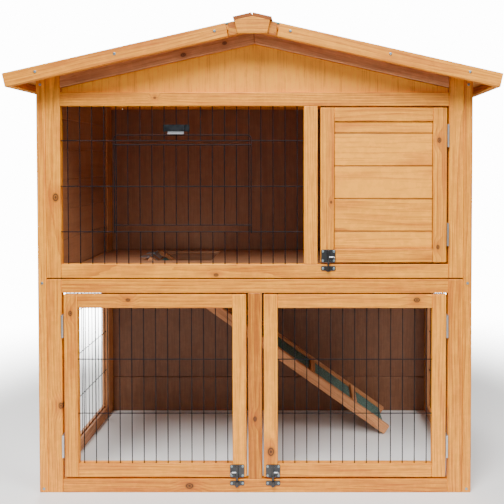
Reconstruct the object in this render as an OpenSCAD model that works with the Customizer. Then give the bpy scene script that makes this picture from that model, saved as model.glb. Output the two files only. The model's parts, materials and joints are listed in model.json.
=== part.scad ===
// Two-level rabbit hutch: a boarded cabin over an open-bottomed run, under a gabled
// felt roof. The origin is on the ground below the middle of the roof. +X is to the
// right of someone facing the doors, -Y is the front and +Z is up.

/* [Cabinet] */
// Width across the outer faces of the sides
body_w = 900; // [800:10:1100]
// Depth from the front faces to the rear faces
body_d = 470; // [400:10:620]
// Height of the run, from the ground to the seam between the levels
run_h = 447; // [380:1:560]
// Height of the cabin's front, from the seam to the top of its top rail
cabin_h = 384; // [330:1:480]
// Height of the side walls above the top rail
eave_rise = 30; // [24:1:50]
// Gap that shows between the run's front and the cabin's front
seam = 2.6; // [1:0.1:5]

/* [Timber] */
// Face width of the rails, mullions and door frames
bar_w = 28.5; // [24:0.5:34]
// Face width of the stiles at the ends of the front
stile_w = 30.5; // [26:0.5:36]
// Thickness of the front frames, the doors and the back walls
frame_t = 16; // [14:0.5:20]
// Thickness of the side panels and face width of the corner strips
side_t = 18.5; // [16:0.5:24]
// Width of the stiles at the ends of the side panels
side_stile_w = 36; // [28:1:50]
// Thickness of the wall boards
board_t = 8; // [6:0.5:11]
// Height of wall that one board covers
board_pitch = 67; // [50:1:90]
// Depth of the boards' faces behind the frame faces around them
board_set = 3; // [1:0.5:5]
// Height of the joint in the run's back wall
back_joint_z = 94; // [60:1:200]
// Thickness of the cabin floor
floor_t = 9; // [6:0.5:12]
// Height and width of the joists under the floor
joist = 18; // [14:1:24]
// Thickness of the plywood in the gables
ply_t = 6; // [4:0.5:8]

/* [Roof] */
// Slope of the roof, in degrees
roof_pitch = 12.7; // [10:0.1:20]
// Overhang of the roof past each side
roof_side = 50; // [30:1:90]
// Overhang of the roof past the front faces
roof_front = 50; // [30:1:90]
// Overhang of the roof past the rear faces
roof_rear = 30; // [20:1:90]
// Thickness of the roof panels, with their felt
roof_t = 14; // [10:0.5:20]
// Thickness of the roof felt
felt_t = 2; // [1:0.1:3]
// Height of the barge boards and of the eave battens
barge_h = 28.5; // [24:0.5:40]
// Thickness of the barge boards and of the eave battens
barge_t = 12; // [9:0.5:16]
// Distance from the ridge to the near ends of the barge boards
barge_start = 56; // [45:1:90]
// Thickness of the ridge boards
ridge_t = 7; // [5:0.5:12]
// Width of each ridge board down the slope
ridge_w = 38; // [30:1:60]
// Height of the blocks under the ends of the ridge boards
block_h = 35; // [30:1:50]

/* [Doors] */
// Width of the cabin's boarded door
cabin_door_w = 261; // [200:1:330]
// Gap beside and below a door
door_gap = 4; // [3.8:0.1:6]
// Gap above a door
door_top_gap = 3; // [2:0.1:6]
// Gap at the latch side of the cabin door
latch_gap = 6; // [4:0.1:9]
// Height that one of the cabin door's boards covers
door_board_pitch = 67.7; // [50:0.1:90]
// Height of the lowest board joint above the cabin door's bottom edge
first_joint = 63.5; // [40:0.5:90]
// Distance from an end of the cabin door to the middle of a hinge
cabin_hinge_inset = 58; // [40:1:90]
// Distance from an end of a run door to the middle of a hinge
run_hinge_inset = 66; // [40:1:90]

/* [Hinges and latches] */
// Length of a door hinge
hinge_len = 47; // [36:1:60]
// Outer radius of a hinge knuckle
knuckle_r = 2.5; // [2.2:0.1:3.5]
// Radius of a hinge pin
pin_r = 1.3; // [1:0.1:1.6]
// Thickness of hinge leaves and latch plates
leaf_t = 1.2; // [0.8:0.1:1.5]
// Depth of a hinge leaf into the gap beside its door
leaf_d = 13; // [10:0.5:14]
// Width of a latch plate and of its keeper
latch_w = 30; // [26:0.5:36]
// Height of a latch plate
latch_h = 27; // [24:0.5:34]
// Height of a keeper
keeper_h = 10; // [8:0.5:14]
// Gap between a keeper's top and the door's bottom edge
keeper_gap = 7.2; // [5:0.1:10]
// Distance from a run door's latch side to its bolt
bolt_in = 19.2; // [17:0.1:24]
// Radius of a latch bolt
bolt_r = 2.2; // [1.8:0.1:2.6]
// Radial clearance of sliding and turning fits
fit = 0.1; // [0.05:0.01:0.1]

/* [Wire mesh] */
// Diameter of the wires
wire_d = 2; // [1.6:0.1:3]
// Spacing of the upright wires
mesh_pitch = 25; // [20:1:40]
// Depth of the upright wires behind the front faces
mesh_in = 6; // [5.5:0.1:8]
// Height of the feed flap, from its pivot wire to its top wire
flap_h = 200.4; // [120:1:240]
// Height of the flap's pivot wire above the sill rail
pivot_up = 67.1; // [40:1:100]
// Number of mesh spaces that the flap's opening takes
flap_spaces = 11; // [6:1:14]
// Number of upright wires up to the left edge of the flap's opening
flap_first = 5; // [3:1:6]
// Least distance from an outer upright wire to the timber, both sides together
mesh_edge = 15; // [6:1:20]
// Distance of the run doors' upper cross wire below the top of the opening
door_wire_drop = 108; // [60:1:150]
// Spacing of the run doors' cross wires
door_wire_pitch = 113.5; // [80:0.5:150]
// Height of the side mesh's lowest cross wire above its bottom rail
side_wire_rise = 96.5; // [60:0.5:150]
// Spacing of the side mesh's cross wires
side_wire_pitch = 105; // [80:1:150]

/* [Ramp] */
// Length of the ramp's rails, from the hinge
ramp_len = 747; // [640:1:900]
// Width across the ramp's rails
ramp_w = 137; // [110:1:180]
// Depth of the ramp's rails
ramp_rail_h = 24; // [20:0.5:30]
// Thickness of the ramp's rails
ramp_rail_t = 14; // [10:0.5:20]
// Gap between the ramp and the joist behind it
ramp_back_gap = 6; // [4:1:40]
// Distance from the middle of the hutch to the hatch's hinge edge
hatch_x = 300; // [240:1:340]
// Length of the hatch
hatch_len = 170; // [150:1:220]
// Room in front of the ramp in the hatch
hatch_front = 30; // [10:1:60]
// Spacing of the cross battens on the ramp
batten_pitch = 131; // [60:1:200]
// Distance from the ramp's foot to its lowest batten
batten_foot = 107; // [40:1:160]

/* [Hidden] */
half = body_w / 2;
in_x = half - side_t;
open_x = in_x - stile_w;
roof_d = body_d + roof_front + roof_rear;
y_end = roof_d / 2;
y_front = -y_end + roof_front;
y_back = y_front + body_d;
y_in_front = y_front + frame_t;
y_in_back = y_back - frame_t;

joint = 0.2;              // hairline between pieces that meet end to end
board_gap = 1;            // shadow line between boards
seat = 0.3;               // clearance under the roof
cabin_z = run_h + seam;
sill_top = cabin_z + bar_w;
cabin_top = cabin_z + cabin_h;
top_rail_z = cabin_top - bar_w;
head_z = run_h - bar_w;
wall_top = cabin_top + eave_rise;
rafter_h = 30;

ridge_z = wall_top + tan(roof_pitch) * half + roof_t / cos(roof_pitch);
slope_len = (half + roof_side) / cos(roof_pitch);
barge_y = y_end - 6;      // outer faces of the barge boards, behind the ridge blocks

// The two kinds of door
cabin_door_x1 = open_x - door_gap;
cabin_door_x0 = cabin_door_x1 - cabin_door_w;
mullion_x1 = cabin_door_x0 - latch_gap;
mullion_x0 = mullion_x1 - bar_w;
cabin_door_z = sill_top + door_gap;
cabin_door_h = top_rail_z - door_top_gap - cabin_door_z;
run_door_x0 = bar_w / 2 + door_gap;
run_door_x1 = open_x - door_gap;
run_door_z = bar_w + door_gap;
run_door_h = head_z - door_top_gap - run_door_z;

// Hinges: the pin stands in the middle of the gap, just in front of the faces
hinge_x = open_x - door_gap / 2;
hinge_y = y_front - knuckle_r - 0.1;
knuckle_gap = 0.3;
cabin_hinges = [cabin_door_z + cabin_hinge_inset,
                cabin_door_z + cabin_door_h - cabin_hinge_inset];
run_hinges = [run_door_z + run_hinge_inset, run_door_z + run_door_h - run_hinge_inset];

// Latches: the bolt runs down through the plate's two barrels into the keeper
bolt_off = 0.8;           // gap between a bolt and its plate
bolt_y = y_front - leaf_t - bolt_r - bolt_off;
barrel_r = bolt_r + 1.2;
barrel_low = 4.5;
barrel_high = 6;
handle_up = 11.5;
bolt_clear = 0.5;
cabin_bolt_x = cabin_door_x0 + 16.4;
run_bolt_x = run_door_x0 + bolt_in;
handle_out = 12;
handle_r = 1.5;
latch_screw_x = latch_w / 2 - 3.6;
latch_screw_z = 4;        // distance of a latch screw from the plate's end
screw_head_r = 2.4;
screw_head_t = 0.9;
screw_grip = 10;          // length of a screw's shank in the timber behind
barge_screw_w = 12;       // depth of the barge screws below the roof's face

// Wire mesh: cross wires stand in front of the upright ones and are welded to them
weld = 0.6 * wire_d;
mesh_y = y_front + mesh_in;
cross_y = mesh_y - weld;
groove_deep = 5;
groove_side = wire_d / 2 + 0.2;
wire_in = 4;
function wire_count(opening) = floor((opening - mesh_edge) / mesh_pitch) + 1;
mesh_n = wire_count(mullion_x0 + open_x);
mesh_x0 = (mullion_x0 - open_x) / 2 - (mesh_n - 1) * mesh_pitch / 2;
pivot_z = sill_top + pivot_up;
flap_z1 = pivot_z + flap_h;
lintel_drop = 11.7;       // fixed wire below the flap's top wire
lintel_z = flap_z1 - lintel_drop;
middle_z = (pivot_z + lintel_z) / 2;
flap_x0 = mesh_x0 + (flap_first - 1) * mesh_pitch;
flap_x1 = flap_x0 + flap_spaces * mesh_pitch;
flap_y = cross_y - wire_d - 0.4;
flap_cross_y = flap_y - weld;
flap_over = 5;            // how far the flap laps past its opening, each side
flap_low = 14.4;          // lowest cross wire above the pivot wire
flap_high = 20.2;         // highest cross wire below the top wire
eye_r = wire_d / 2 + 0.3;
split_out = wire_d / 2 + 0.5;

// Clip: a plate wrapped round two wires, with a blade that slides in its channel
clip_n = flap_first + 3;  // the wires to the left of the clip
clip_x = mesh_x0 + (clip_n + 1) * mesh_pitch;
clip_rise = 7.5;          // from the flap's top wire to the bracket
clip_h = 14;
clip_z = flap_z1 + clip_rise;
blade_w = 33;
blade_t = 1.2;
blade_lip = 2.5;          // finger grip along the blade's foot
blade_y = flap_y - wire_d / 2 - 0.4 - blade_t;
blade_low = flap_z1 + wire_d / 2 + 0.6;
blade_high = clip_z + clip_h - 0.5;

// Ramp, in a frame at its hinge: u runs down the slope and w stands square to it
ramp_y1 = y_in_back - joist - ramp_back_gap;
ramp_y0 = ramp_y1 - ramp_w;
hatch_y0 = ramp_y0 - hatch_front;
hatch_y1 = y_in_back - joist;
trimmer_gap = 6;          // from the hatch's edge to the joist beside it
ramp_pivot_x = -hatch_x + knuckle_r + 1.1;
ramp_pivot_z = run_h + leaf_t;
rail_top = 6.8;
rail_low = ramp_rail_h - rail_top;
ground_gap = 0.3;
ramp_reach = norm([ramp_len, rail_low]);
ramp_a = asin((ramp_pivot_z - ground_gap) / ramp_reach) - atan2(rail_low, ramp_len);
deck_top = -knuckle_r + 0.3;
deck_t = 6;
ramp_felt_t = 1.6;
deck_start = 5;
deck_short = 12;          // how far the deck stops short of the rails' ends
felt_start = 26;
first_batten = 40;        // least distance of a batten below the felt's top edge
batten_w = 14;
batten_h = 9;
ramp_hinge_in = 36;
ramp_hinge_y = [ramp_y0 + ramp_hinge_in, ramp_y1 - ramp_hinge_in];
ramp_hinge_len = 34;
floor_leaf = 22;          // reach of the ramp hinges on the floor
deck_leaf = 20;           // reach of the ramp hinges on the deck

timber = [0.87, 0.63, 0.38];
deep_timber = [0.80, 0.53, 0.30];
plywood = [0.84, 0.57, 0.36];
zinc = [0.70, 0.72, 0.74];
black_wire = [0.13, 0.13, 0.15];
green_felt = [0.24, 0.36, 0.32];

// ---- Shared shapes ----

function roof_top(x) = ridge_z - tan(roof_pitch) * abs(x);
function roof_under(x) = roof_top(x) - roof_t / cos(roof_pitch) - seat;

module bar(low, high) { translate(low) cube(high - low); }

module both_sides() {
    children();
    mirror([1, 0, 0]) children();
}

// An outline in X and Z, drawn from y0 to y1
module plate_y(points, y0, y1) {
    translate([0, y1, 0]) rotate([90, 0, 0]) linear_extrude(y1 - y0) polygon(points);
}

// An upright of the given width, cut to the roof's slope at its top
module post_under_roof(x0, x1, y0, y1, z0) {
    plate_y([[x0, z0], [x1, z0], [x1, roof_under(x1)], [x0, roof_under(x0)]], y0, y1);
}

module wire_x(x0, x1, y, z) {
    translate([x0, y, z]) rotate([0, 90, 0]) cylinder(d = wire_d, h = x1 - x0, $fn = 8);
}

module wire_y(x, y0, y1, z) {
    translate([x, y0, z]) rotate([-90, 0, 0]) cylinder(d = wire_d, h = y1 - y0, $fn = 8);
}

module wire_z(x, y, z0, z1) {
    translate([x, y, z0]) cylinder(d = wire_d, h = z1 - z0, $fn = 8);
}

// Right half of the roof: x runs down the slope from the ridge and z is square to it
module on_slope() { translate([0, 0, ridge_z]) rotate([0, roof_pitch, 0]) children(); }

// A piece of the right half of the roof, mitred at the ridge
module roof_piece(u0, u1, y0, y1, w0, w1) {
    difference() {
        on_slope() bar([u0, y0, w0], [u1, y1, w1]);
        if (u0 < ridge_w / 2)
            bar([-2 * ridge_w, y0 - 1, ridge_z - 2 * barge_h],
                [joint, y1 + 1, ridge_z + 2 * barge_h]);
    }
}

// A screw with its head's underside at the origin, driven along +Y
module screw(length) {
    rotate([-90, 0, 0]) cylinder(r = screw_head_r / 2, h = length, $fn = 24);
    rotate([90, 0, 0]) cylinder(r = screw_head_r, h = screw_head_t, $fn = 24);
}

// ---- Cabinet: corner strips and sides ----

module corner_strips() {
    color(timber) both_sides() {
        for (y = [y_front, y_in_back])
            post_under_roof(in_x + joint, half, y, y + frame_t, 0);
    }
}

module side_stiles(z0, z1) {
    for (y = [y_in_front, y_in_back - side_stile_w])
        bar([in_x, y, z0], [half, y + side_stile_w, z1]);
}

module run_side_frame() {
    y0 = y_in_front + side_stile_w;
    y1 = y_in_back - side_stile_w;
    x = half - side_t / 2;
    difference() {
        union() {
            side_stiles(0, run_h);
            bar([in_x, y0 + joint, 0], [half, y1 - joint, bar_w]);
            bar([in_x, y0 + joint, head_z], [half, y1 - joint, run_h]);
        }
        bar([x - groove_side - weld, y0 - groove_deep, bar_w - groove_deep],
            [x + groove_side, y1 + groove_deep, head_z + groove_deep]);
    }
}

module run_side_mesh() {
    y0 = y_in_front + side_stile_w;
    y1 = y_in_back - side_stile_w;
    x = half - side_t / 2;
    n = wire_count(y1 - y0);
    first = (y0 + y1 - (n - 1) * mesh_pitch) / 2;
    for (i = [0 : n - 1])
        wire_z(x, first + i * mesh_pitch, bar_w - wire_in, head_z + wire_in);
    for (z = [bar_w + side_wire_rise : side_wire_pitch : head_z - wire_d])
        wire_y(x - weld, y0 - wire_in, y1 + wire_in, z);
}

module left_run_side_frame() { color(timber) mirror([1, 0, 0]) run_side_frame(); }

module right_run_side_frame() { color(timber) run_side_frame(); }

module left_run_side_mesh() { color(black_wire) mirror([1, 0, 0]) run_side_mesh(); }

module right_run_side_mesh() { color(black_wire) run_side_mesh(); }

module cabin_side_frames() {
    y0 = y_in_front + side_stile_w;
    y1 = y_in_back - side_stile_w;
    color(timber) both_sides() {
        for (y = [y_in_front, y1])
            post_under_roof(in_x, half, y, y + side_stile_w, run_h);
        post_under_roof(in_x, half, y0 + joint, y1 - joint, wall_top - bar_w);
        bar([in_x + board_set + board_t, y0 + joint, run_h], [half, y1 - joint, run_h + bar_w]);
    }
}

// Rows of horizontal boards between two heights, with their joints at base + n * pitch
module board_rows(x0, x1, y0, y1, z0, z1, base, pitch) {
    n0 = floor((z0 - base) / pitch + 0.001);
    n1 = ceil((z1 - base) / pitch - 0.001) - 1;
    for (n = [n0 : n1]) {
        low = max(z0, base + n * pitch + (n == n0 ? 0 : board_gap));
        high = min(z1, base + (n + 1) * pitch);
        if (high - low > 2 * board_gap) bar([x0, y0, low], [x1, y1, high]);
    }
}

module cabin_boards() {
    board_rows(in_x + board_set, in_x + board_set + board_t, y_in_front + side_stile_w,
               y_in_back - side_stile_w, run_h, wall_top - bar_w, cabin_z, board_pitch);
}

module left_cabin_boards() { color(deep_timber) mirror([1, 0, 0]) cabin_boards(); }

module right_cabin_boards() { color(deep_timber) cabin_boards(); }

// ---- Cabinet: back ----

module back_bars(z0, z1, z_top) {
    y0 = y_in_back + board_t;
    both_sides() bar([in_x - bar_w, y0, z0], [in_x, y_back, z_top]);
    for (z = [z0, z1 - bar_w])
        bar([bar_w - in_x + joint, y0, z], [in_x - bar_w - joint, y_back, z + bar_w]);
}

module run_back_frame() { color(timber) back_bars(0, run_h, run_h); }

module run_back_wall() {
    color(deep_timber) for (z = [[0, back_joint_z], [back_joint_z + board_gap, run_h]])
        bar([-in_x, y_in_back, z[0]], [in_x, y_in_back + board_t, z[1]]);
}

module cabin_back_frame() { color(timber) back_bars(run_h + joint, cabin_top, cabin_top); }

module cabin_back_wall() {
    color(deep_timber)
        bar([-in_x, y_in_back, run_h + joint], [in_x, y_in_back + board_t, cabin_top]);
}

// ---- Cabinet: fronts ----

module front_bar(x0, x1, z0, z1) { bar([x0, y_front, z0], [x1, y_in_front, z1]); }

// The groove that the mesh's edges sit in, cut from the bars around an opening
module mesh_groove(x0, x1, z0, z1) {
    bar([x0 - groove_deep, cross_y - groove_side, z0 - groove_deep],
        [x1 + groove_deep, mesh_y + groove_side, z1 + groove_deep]);
}

module cabin_groove() { mesh_groove(-open_x, mullion_x0, sill_top, top_rail_z); }

module run_front_stiles() { color(timber) both_sides() front_bar(open_x, in_x, 0, run_h); }

module run_head_rail() { color(timber) front_bar(-open_x, open_x, head_z, run_h); }

module run_bottom_rail() { color(timber) front_bar(-open_x, open_x, 0, bar_w); }

module run_mullion() { color(timber) front_bar(-bar_w / 2, bar_w / 2, bar_w, head_z); }

module cabin_front_stiles() {
    color(timber) difference() {
        both_sides() post_under_roof(open_x, in_x, y_front, y_in_front, cabin_z);
        cabin_groove();
    }
}

module cabin_top_rail() {
    color(timber) difference() {
        front_bar(-open_x, open_x, top_rail_z, cabin_top);
        cabin_groove();
    }
}

module cabin_sill_rail() {
    color(timber) difference() {
        front_bar(-open_x, open_x, cabin_z, sill_top);
        cabin_groove();
    }
}

module cabin_mullion() {
    color(timber) difference() {
        front_bar(mullion_x0, mullion_x1, sill_top, top_rail_z);
        cabin_groove();
    }
}

module gable_rafters() {
    drop = rafter_h / cos(roof_pitch);
    outline = [[joint, roof_under(joint)], [open_x, roof_under(open_x)],
               [open_x, roof_under(open_x) - drop], [joint, roof_under(joint) - drop]];
    color(deep_timber) both_sides() for (y = [y_front, y_in_back])
        plate_y(outline, y, y + frame_t);
}

module gable_panels() {
    drop = rafter_h / cos(roof_pitch);
    low = roof_under(open_x) - drop;
    outline = [[-open_x, cabin_top], [open_x, cabin_top], [open_x, low],
               [0, roof_under(0) - drop], [-open_x, low]];
    color(plywood) {
        plate_y(outline, y_in_front - ply_t - 1, y_in_front - 1);
        plate_y(outline, y_in_back + 1, y_in_back + 1 + ply_t);
        // The rear panel's ends close the room between the back stiles and the roof
        both_sides() plate_y(
            [[open_x + joint, cabin_top], [in_x - joint, cabin_top],
             [in_x - joint, roof_under(in_x - joint)], [open_x + joint, roof_under(open_x + joint)]],
            y_in_back + 1, y_in_back + 1 + ply_t);
    }
}

// ---- Cabin floor and mesh ----

module cabin_floor() {
    color(deep_timber) difference() {
        bar([-in_x, y_in_front, run_h - floor_t], [in_x, y_in_back, run_h]);
        bar([-hatch_x, hatch_y0, run_h - 2 * floor_t], [hatch_len - hatch_x, hatch_y1, run_h + 1]);
    }
}

module floor_joists() {
    z1 = run_h - floor_t;
    color(timber) {
        for (y = [y_in_front, y_in_back - joist])
            bar([-in_x, y, z1 - joist], [in_x, y + joist, z1]);
        for (x = [-hatch_x - trimmer_gap - joist, mullion_x0])
            bar([x, y_in_front + joist + joint, z1 - joist],
                [x + joist, y_in_back - joist - joint, z1]);
    }
}

// Upright and cross wires of one rectangle of mesh
module wire_grid(uprights, z0, z1, crosses, x0, x1) {
    for (x = uprights) wire_z(x, mesh_y, z0, z1);
    for (z = crosses) wire_x(x0, x1, cross_y, z);
}

// The cabin's mesh goes round the flap's opening as four rectangles
module cabin_mesh() {
    low = sill_top - wire_in;
    high = top_rail_z + wire_in;
    all_cross = [pivot_z, middle_z, lintel_z];
    x_left = -open_x - wire_in;
    x_right = mullion_x0 + wire_in;
    inner = [for (i = [1 : flap_spaces - 1]) flap_x0 + i * mesh_pitch];
    color(black_wire) {
        wire_grid([for (i = [0 : flap_first - 1]) mesh_x0 + i * mesh_pitch],
                  low, high, all_cross, x_left, flap_x0 + split_out);
        wire_grid([for (i = [flap_first - 1 + flap_spaces : mesh_n - 1]) mesh_x0 + i * mesh_pitch],
                  low, high, all_cross, flap_x1 - split_out, x_right);
        wire_grid(inner, lintel_z, high, [lintel_z],
                  flap_x0 + split_out + joint, flap_x1 - split_out - joint);
        wire_grid(inner, low, pivot_z, [pivot_z],
                  flap_x0 + split_out + joint, flap_x1 - split_out - joint);
    }
}

// ---- Roof ----

module roof_panels() {
    color(deep_timber) both_sides()
        roof_piece(0, slope_len - barge_t, barge_t - barge_y, barge_y - barge_t, -roof_t, -felt_t);
}

module roof_felt() {
    color(green_felt) both_sides()
        roof_piece(0, slope_len, barge_t - barge_y, barge_y - barge_t, -felt_t, 0);
}

module barge_boards() {
    color(timber) both_sides() for (y = [-barge_y, barge_y - barge_t])
        on_slope() bar([barge_start, y, -barge_h], [slope_len, y + barge_t, 0]);
}

module eave_battens() {
    color(timber) both_sides()
        on_slope() bar([slope_len - barge_t, barge_t - barge_y, -barge_h],
                       [slope_len, barge_y - barge_t, -felt_t]);
}

module ridge_boards() {
    color(deep_timber) both_sides() roof_piece(0, ridge_w, -y_end, y_end, 0, ridge_t);
}

module ridge_blocks() {
    top = ridge_w * cos(roof_pitch) - 1.5;
    foot = top - 5.5;
    z0 = ridge_z - block_h;
    outline = [[-foot, z0], [foot, z0], [top, roof_top(top)], [0, ridge_z], [-top, roof_top(top)]];
    color(timber) {
        plate_y(outline, -y_end, -barge_y);
        plate_y(outline, barge_y, y_end);
    }
}

module ridge_gussets() {
    x = barge_start * cos(roof_pitch) - barge_h * sin(roof_pitch) - joint;
    low = 2 + (barge_h - 2) / cos(roof_pitch);
    outline = [[-x, roof_top(x) - 2], [0, ridge_z - 2], [x, roof_top(x) - 2],
               [x, roof_top(x) - low], [0, ridge_z - low], [-x, roof_top(x) - low]];
    color(deep_timber) {
        plate_y(outline, -barge_y, barge_t - barge_y);
        plate_y(outline, barge_y - barge_t, barge_y);
    }
}

// ---- Fasteners and fittings on the cabinet ----

module frame_screws() {
    strip_x = in_x + side_t / 2;
    color(zinc) both_sides() for (back = [0, 1]) mirror([0, back, 0]) {
        y = back == 0 ? y_front : -y_back;
        for (z = [8, run_h - 8, roof_under(half) - 14])
            translate([strip_x, y, z]) screw(frame_t + screw_grip);
        for (u = [barge_start + 24, (barge_start + slope_len) / 2, slope_len - 66])
            on_slope() translate([u, -barge_y, -barge_screw_w]) screw(barge_t + 8);
    }
}

module keeper(x, z_top) {
    z0 = z_top - keeper_h;
    difference() {
        union() {
            bar([x - latch_w / 2, y_front - leaf_t, z0], [x + latch_w / 2, y_front, z_top]);
            translate([x, bolt_y, z0 - 1]) cylinder(r = barrel_r, h = keeper_h + 1, $fn = 32);
            bar([x - barrel_r, bolt_y, z0 - 1], [x + barrel_r, y_front, z_top]);
        }
        translate([x, bolt_y, z0]) cylinder(r = bolt_r + 2 * fit, h = keeper_h + 1, $fn = 32);
    }
    for (s = [-1, 1])
        translate([x + s * latch_screw_x, y_front - leaf_t, z_top - keeper_h / 2])
            screw(screw_grip);
}

module latch_keepers() {
    color(zinc) {
        keeper(cabin_bolt_x, cabin_door_z - keeper_gap);
        keeper(run_bolt_x, run_door_z - keeper_gap);
        keeper(-run_bolt_x, run_door_z - keeper_gap);
    }
}

// One side of a hinge: the middle knuckle or the two outer ones, with a leaf that lies
// along the gap on that side. side is 1 for the leaf on the frame and -1 on the door.
module hinge_leaf(z_mid, side) {
    third = hinge_len / 3;
    spans = side > 0 ? [[0, third - knuckle_gap], [2 * third + knuckle_gap, hinge_len]]
                     : [[third, 2 * third]];
    z0 = z_mid - hinge_len / 2;
    x_wall = side * door_gap / 2;
    x_leaf = side * (door_gap / 2 - leaf_t);
    difference() {
        union() {
            for (s = spans)
                translate([hinge_x, hinge_y, z0 + s[0]])
                    cylinder(r = knuckle_r, h = s[1] - s[0], $fn = 32);
            bar([hinge_x + min(x_wall, x_leaf), y_front, z0],
                [hinge_x + max(x_wall, x_leaf), y_front + leaf_d, z0 + hinge_len]);
            for (s = spans)
                bar([hinge_x + min(x_wall, x_leaf), hinge_y, z0 + s[0]],
                    [hinge_x + max(x_wall, x_leaf), y_front + 1, z0 + s[1]]);
        }
        translate([hinge_x, hinge_y, z0 - 1])
            cylinder(r = pin_r + fit, h = hinge_len + 2, $fn = 32);
    }
}

module frame_hinge_leaves() {
    color(zinc) {
        for (z = cabin_hinges) hinge_leaf(z, 1);
        both_sides() for (z = run_hinges) hinge_leaf(z, 1);
    }
}

module hinge_pin(z_mid) {
    translate([hinge_x, hinge_y, z_mid - hinge_len / 2])
        cylinder(r = pin_r, h = hinge_len, $fn = 24);
}

module hinge_pins() {
    color(zinc) {
        for (z = cabin_hinges) hinge_pin(z);
        both_sides() for (z = run_hinges) hinge_pin(z);
        for (y = ramp_hinge_y)
            translate([ramp_pivot_x, y - ramp_hinge_len / 2, ramp_pivot_z]) rotate([-90, 0, 0])
                cylinder(r = pin_r, h = ramp_hinge_len, $fn = 24);
    }
}

module clip_bracket() {
    gap = 0.3;
    x0 = clip_x - mesh_pitch;
    x1 = clip_x + mesh_pitch;
    plate_y1 = mesh_y - wire_d / 2 - 0.1;
    wrap_r = wire_d / 2 + 1.2;
    front = blade_y - gap - 1;
    color([0.25, 0.26, 0.28]) difference() {
        union() {
            bar([x0, plate_y1 - 1, clip_z], [x1, plate_y1, clip_z + clip_h]);
            for (x = [x0, x1])
                translate([x, mesh_y, clip_z]) cylinder(r = wrap_r, h = clip_h, $fn = 32);
            bar([clip_x - blade_w / 2 - 1.5, front, clip_z],
                [clip_x + blade_w / 2 + 1.5, plate_y1 - 0.5, clip_z + clip_h]);
        }
        for (x = [x0, x1])
            translate([x, mesh_y, clip_z - 1])
                cylinder(r = wire_d / 2 + fit, h = clip_h + 2, $fn = 32);
        bar([clip_x - blade_w / 2 - gap, blade_y - gap, clip_z - 1],
            [clip_x + blade_w / 2 + gap, blade_y + blade_t + gap, clip_z + clip_h + 1]);
    }
}

// Hinge knuckles along Y at the ramp's pivot
module ramp_knuckles(y_mid, spans) {
    for (s = spans)
        translate([0, y_mid - ramp_hinge_len / 2 + s[0], 0]) rotate([-90, 0, 0])
            cylinder(r = knuckle_r, h = s[1] - s[0], $fn = 32);
}

module ramp_pin_hole(y_mid) {
    translate([0, y_mid - ramp_hinge_len, 0]) rotate([-90, 0, 0])
        cylinder(r = pin_r + fit, h = 2 * ramp_hinge_len, $fn = 32);
}

module ramp_hinge_plates() {
    third = ramp_hinge_len / 3;
    spans = [[0, third - knuckle_gap], [2 * third + knuckle_gap, ramp_hinge_len]];
    color(zinc) translate([ramp_pivot_x, 0, ramp_pivot_z]) for (y = ramp_hinge_y) difference() {
        union() {
            ramp_knuckles(y, spans);
            for (s = spans)
                bar([-floor_leaf, y - ramp_hinge_len / 2 + s[0], -leaf_t],
                    [0, y - ramp_hinge_len / 2 + s[1], 0]);
            bar([-floor_leaf, y - ramp_hinge_len / 2, -leaf_t],
                [-knuckle_r - 0.5, y + ramp_hinge_len / 2, 0]);
        }
        ramp_pin_hole(y);
    }
}

// ---- Doors ----

// Stiles the full height and rails between them, with or without a groove for mesh
module door_frame(x0, x1, z0, h, grooved) {
    difference() {
        union() {
            for (x = [x0, x1 - bar_w]) front_bar(x, x + bar_w, z0, z0 + h);
            for (z = [z0, z0 + h - bar_w])
                front_bar(x0 + bar_w + joint, x1 - bar_w - joint, z, z + bar_w);
        }
        if (grooved)
            mesh_groove(x0 + bar_w, x1 - bar_w, z0 + bar_w, z0 + h - bar_w);
    }
}

// A latch plate with two barrels for its bolt and four screws
module latch(x, z0) {
    difference() {
        union() {
            bar([x - latch_w / 2, y_front - leaf_t, z0], [x + latch_w / 2, y_front, z0 + latch_h]);
            for (s = [[0, barrel_low], [latch_h - barrel_high, latch_h]]) {
                translate([x, bolt_y, z0 + s[0]])
                    cylinder(r = barrel_r, h = s[1] - s[0], $fn = 32);
                bar([x - barrel_r, bolt_y, z0 + s[0]], [x + barrel_r, y_front, z0 + s[1]]);
            }
        }
        for (s = [[-1, barrel_low + 1], [latch_h - barrel_high - 1, latch_h + 1]])
            translate([x, bolt_y, z0 + s[0]])
                cylinder(r = bolt_r + fit, h = s[1] - s[0], $fn = 32);
        for (sx = [-1, 1], z = [latch_screw_z, latch_h - latch_screw_z])
            translate([x + sx * latch_screw_x, y_front + 1, z0 + z]) rotate([90, 0, 0])
                cylinder(r = screw_head_r / 2 + fit, h = leaf_t + 2, $fn = 24);
    }
    for (sx = [-1, 1], z = [latch_screw_z, latch_h - latch_screw_z])
        translate([x + sx * latch_screw_x, y_front - leaf_t - joint, z0 + z]) screw(screw_grip);
}

// A latch bolt with a turned-out handle. side is the way that the handle points.
module bolt(x, z0, side) {
    low = z0 - keeper_gap + bolt_clear;
    union() {
        translate([x, bolt_y, low]) cylinder(r = bolt_r, h = z0 + latch_h + 1 - low, $fn = 32);
        translate([x, bolt_y, z0 + handle_up]) rotate([0, side * 90, 0])
            cylinder(r = handle_r, h = handle_out, $fn = 24);
        translate([x + side * handle_out, bolt_y, z0 + handle_up]) rotate([90, 0, 0])
            cylinder(r = handle_r, h = handle_out / 2, $fn = 24);
        translate([x + side * handle_out, bolt_y, z0 + handle_up])
            sphere(r = handle_r, $fn = 24);
    }
}

module cabin_door_frame() {
    color(timber)
        door_frame(cabin_door_x0, cabin_door_x1, cabin_door_z, cabin_door_h, false);
}

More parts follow.
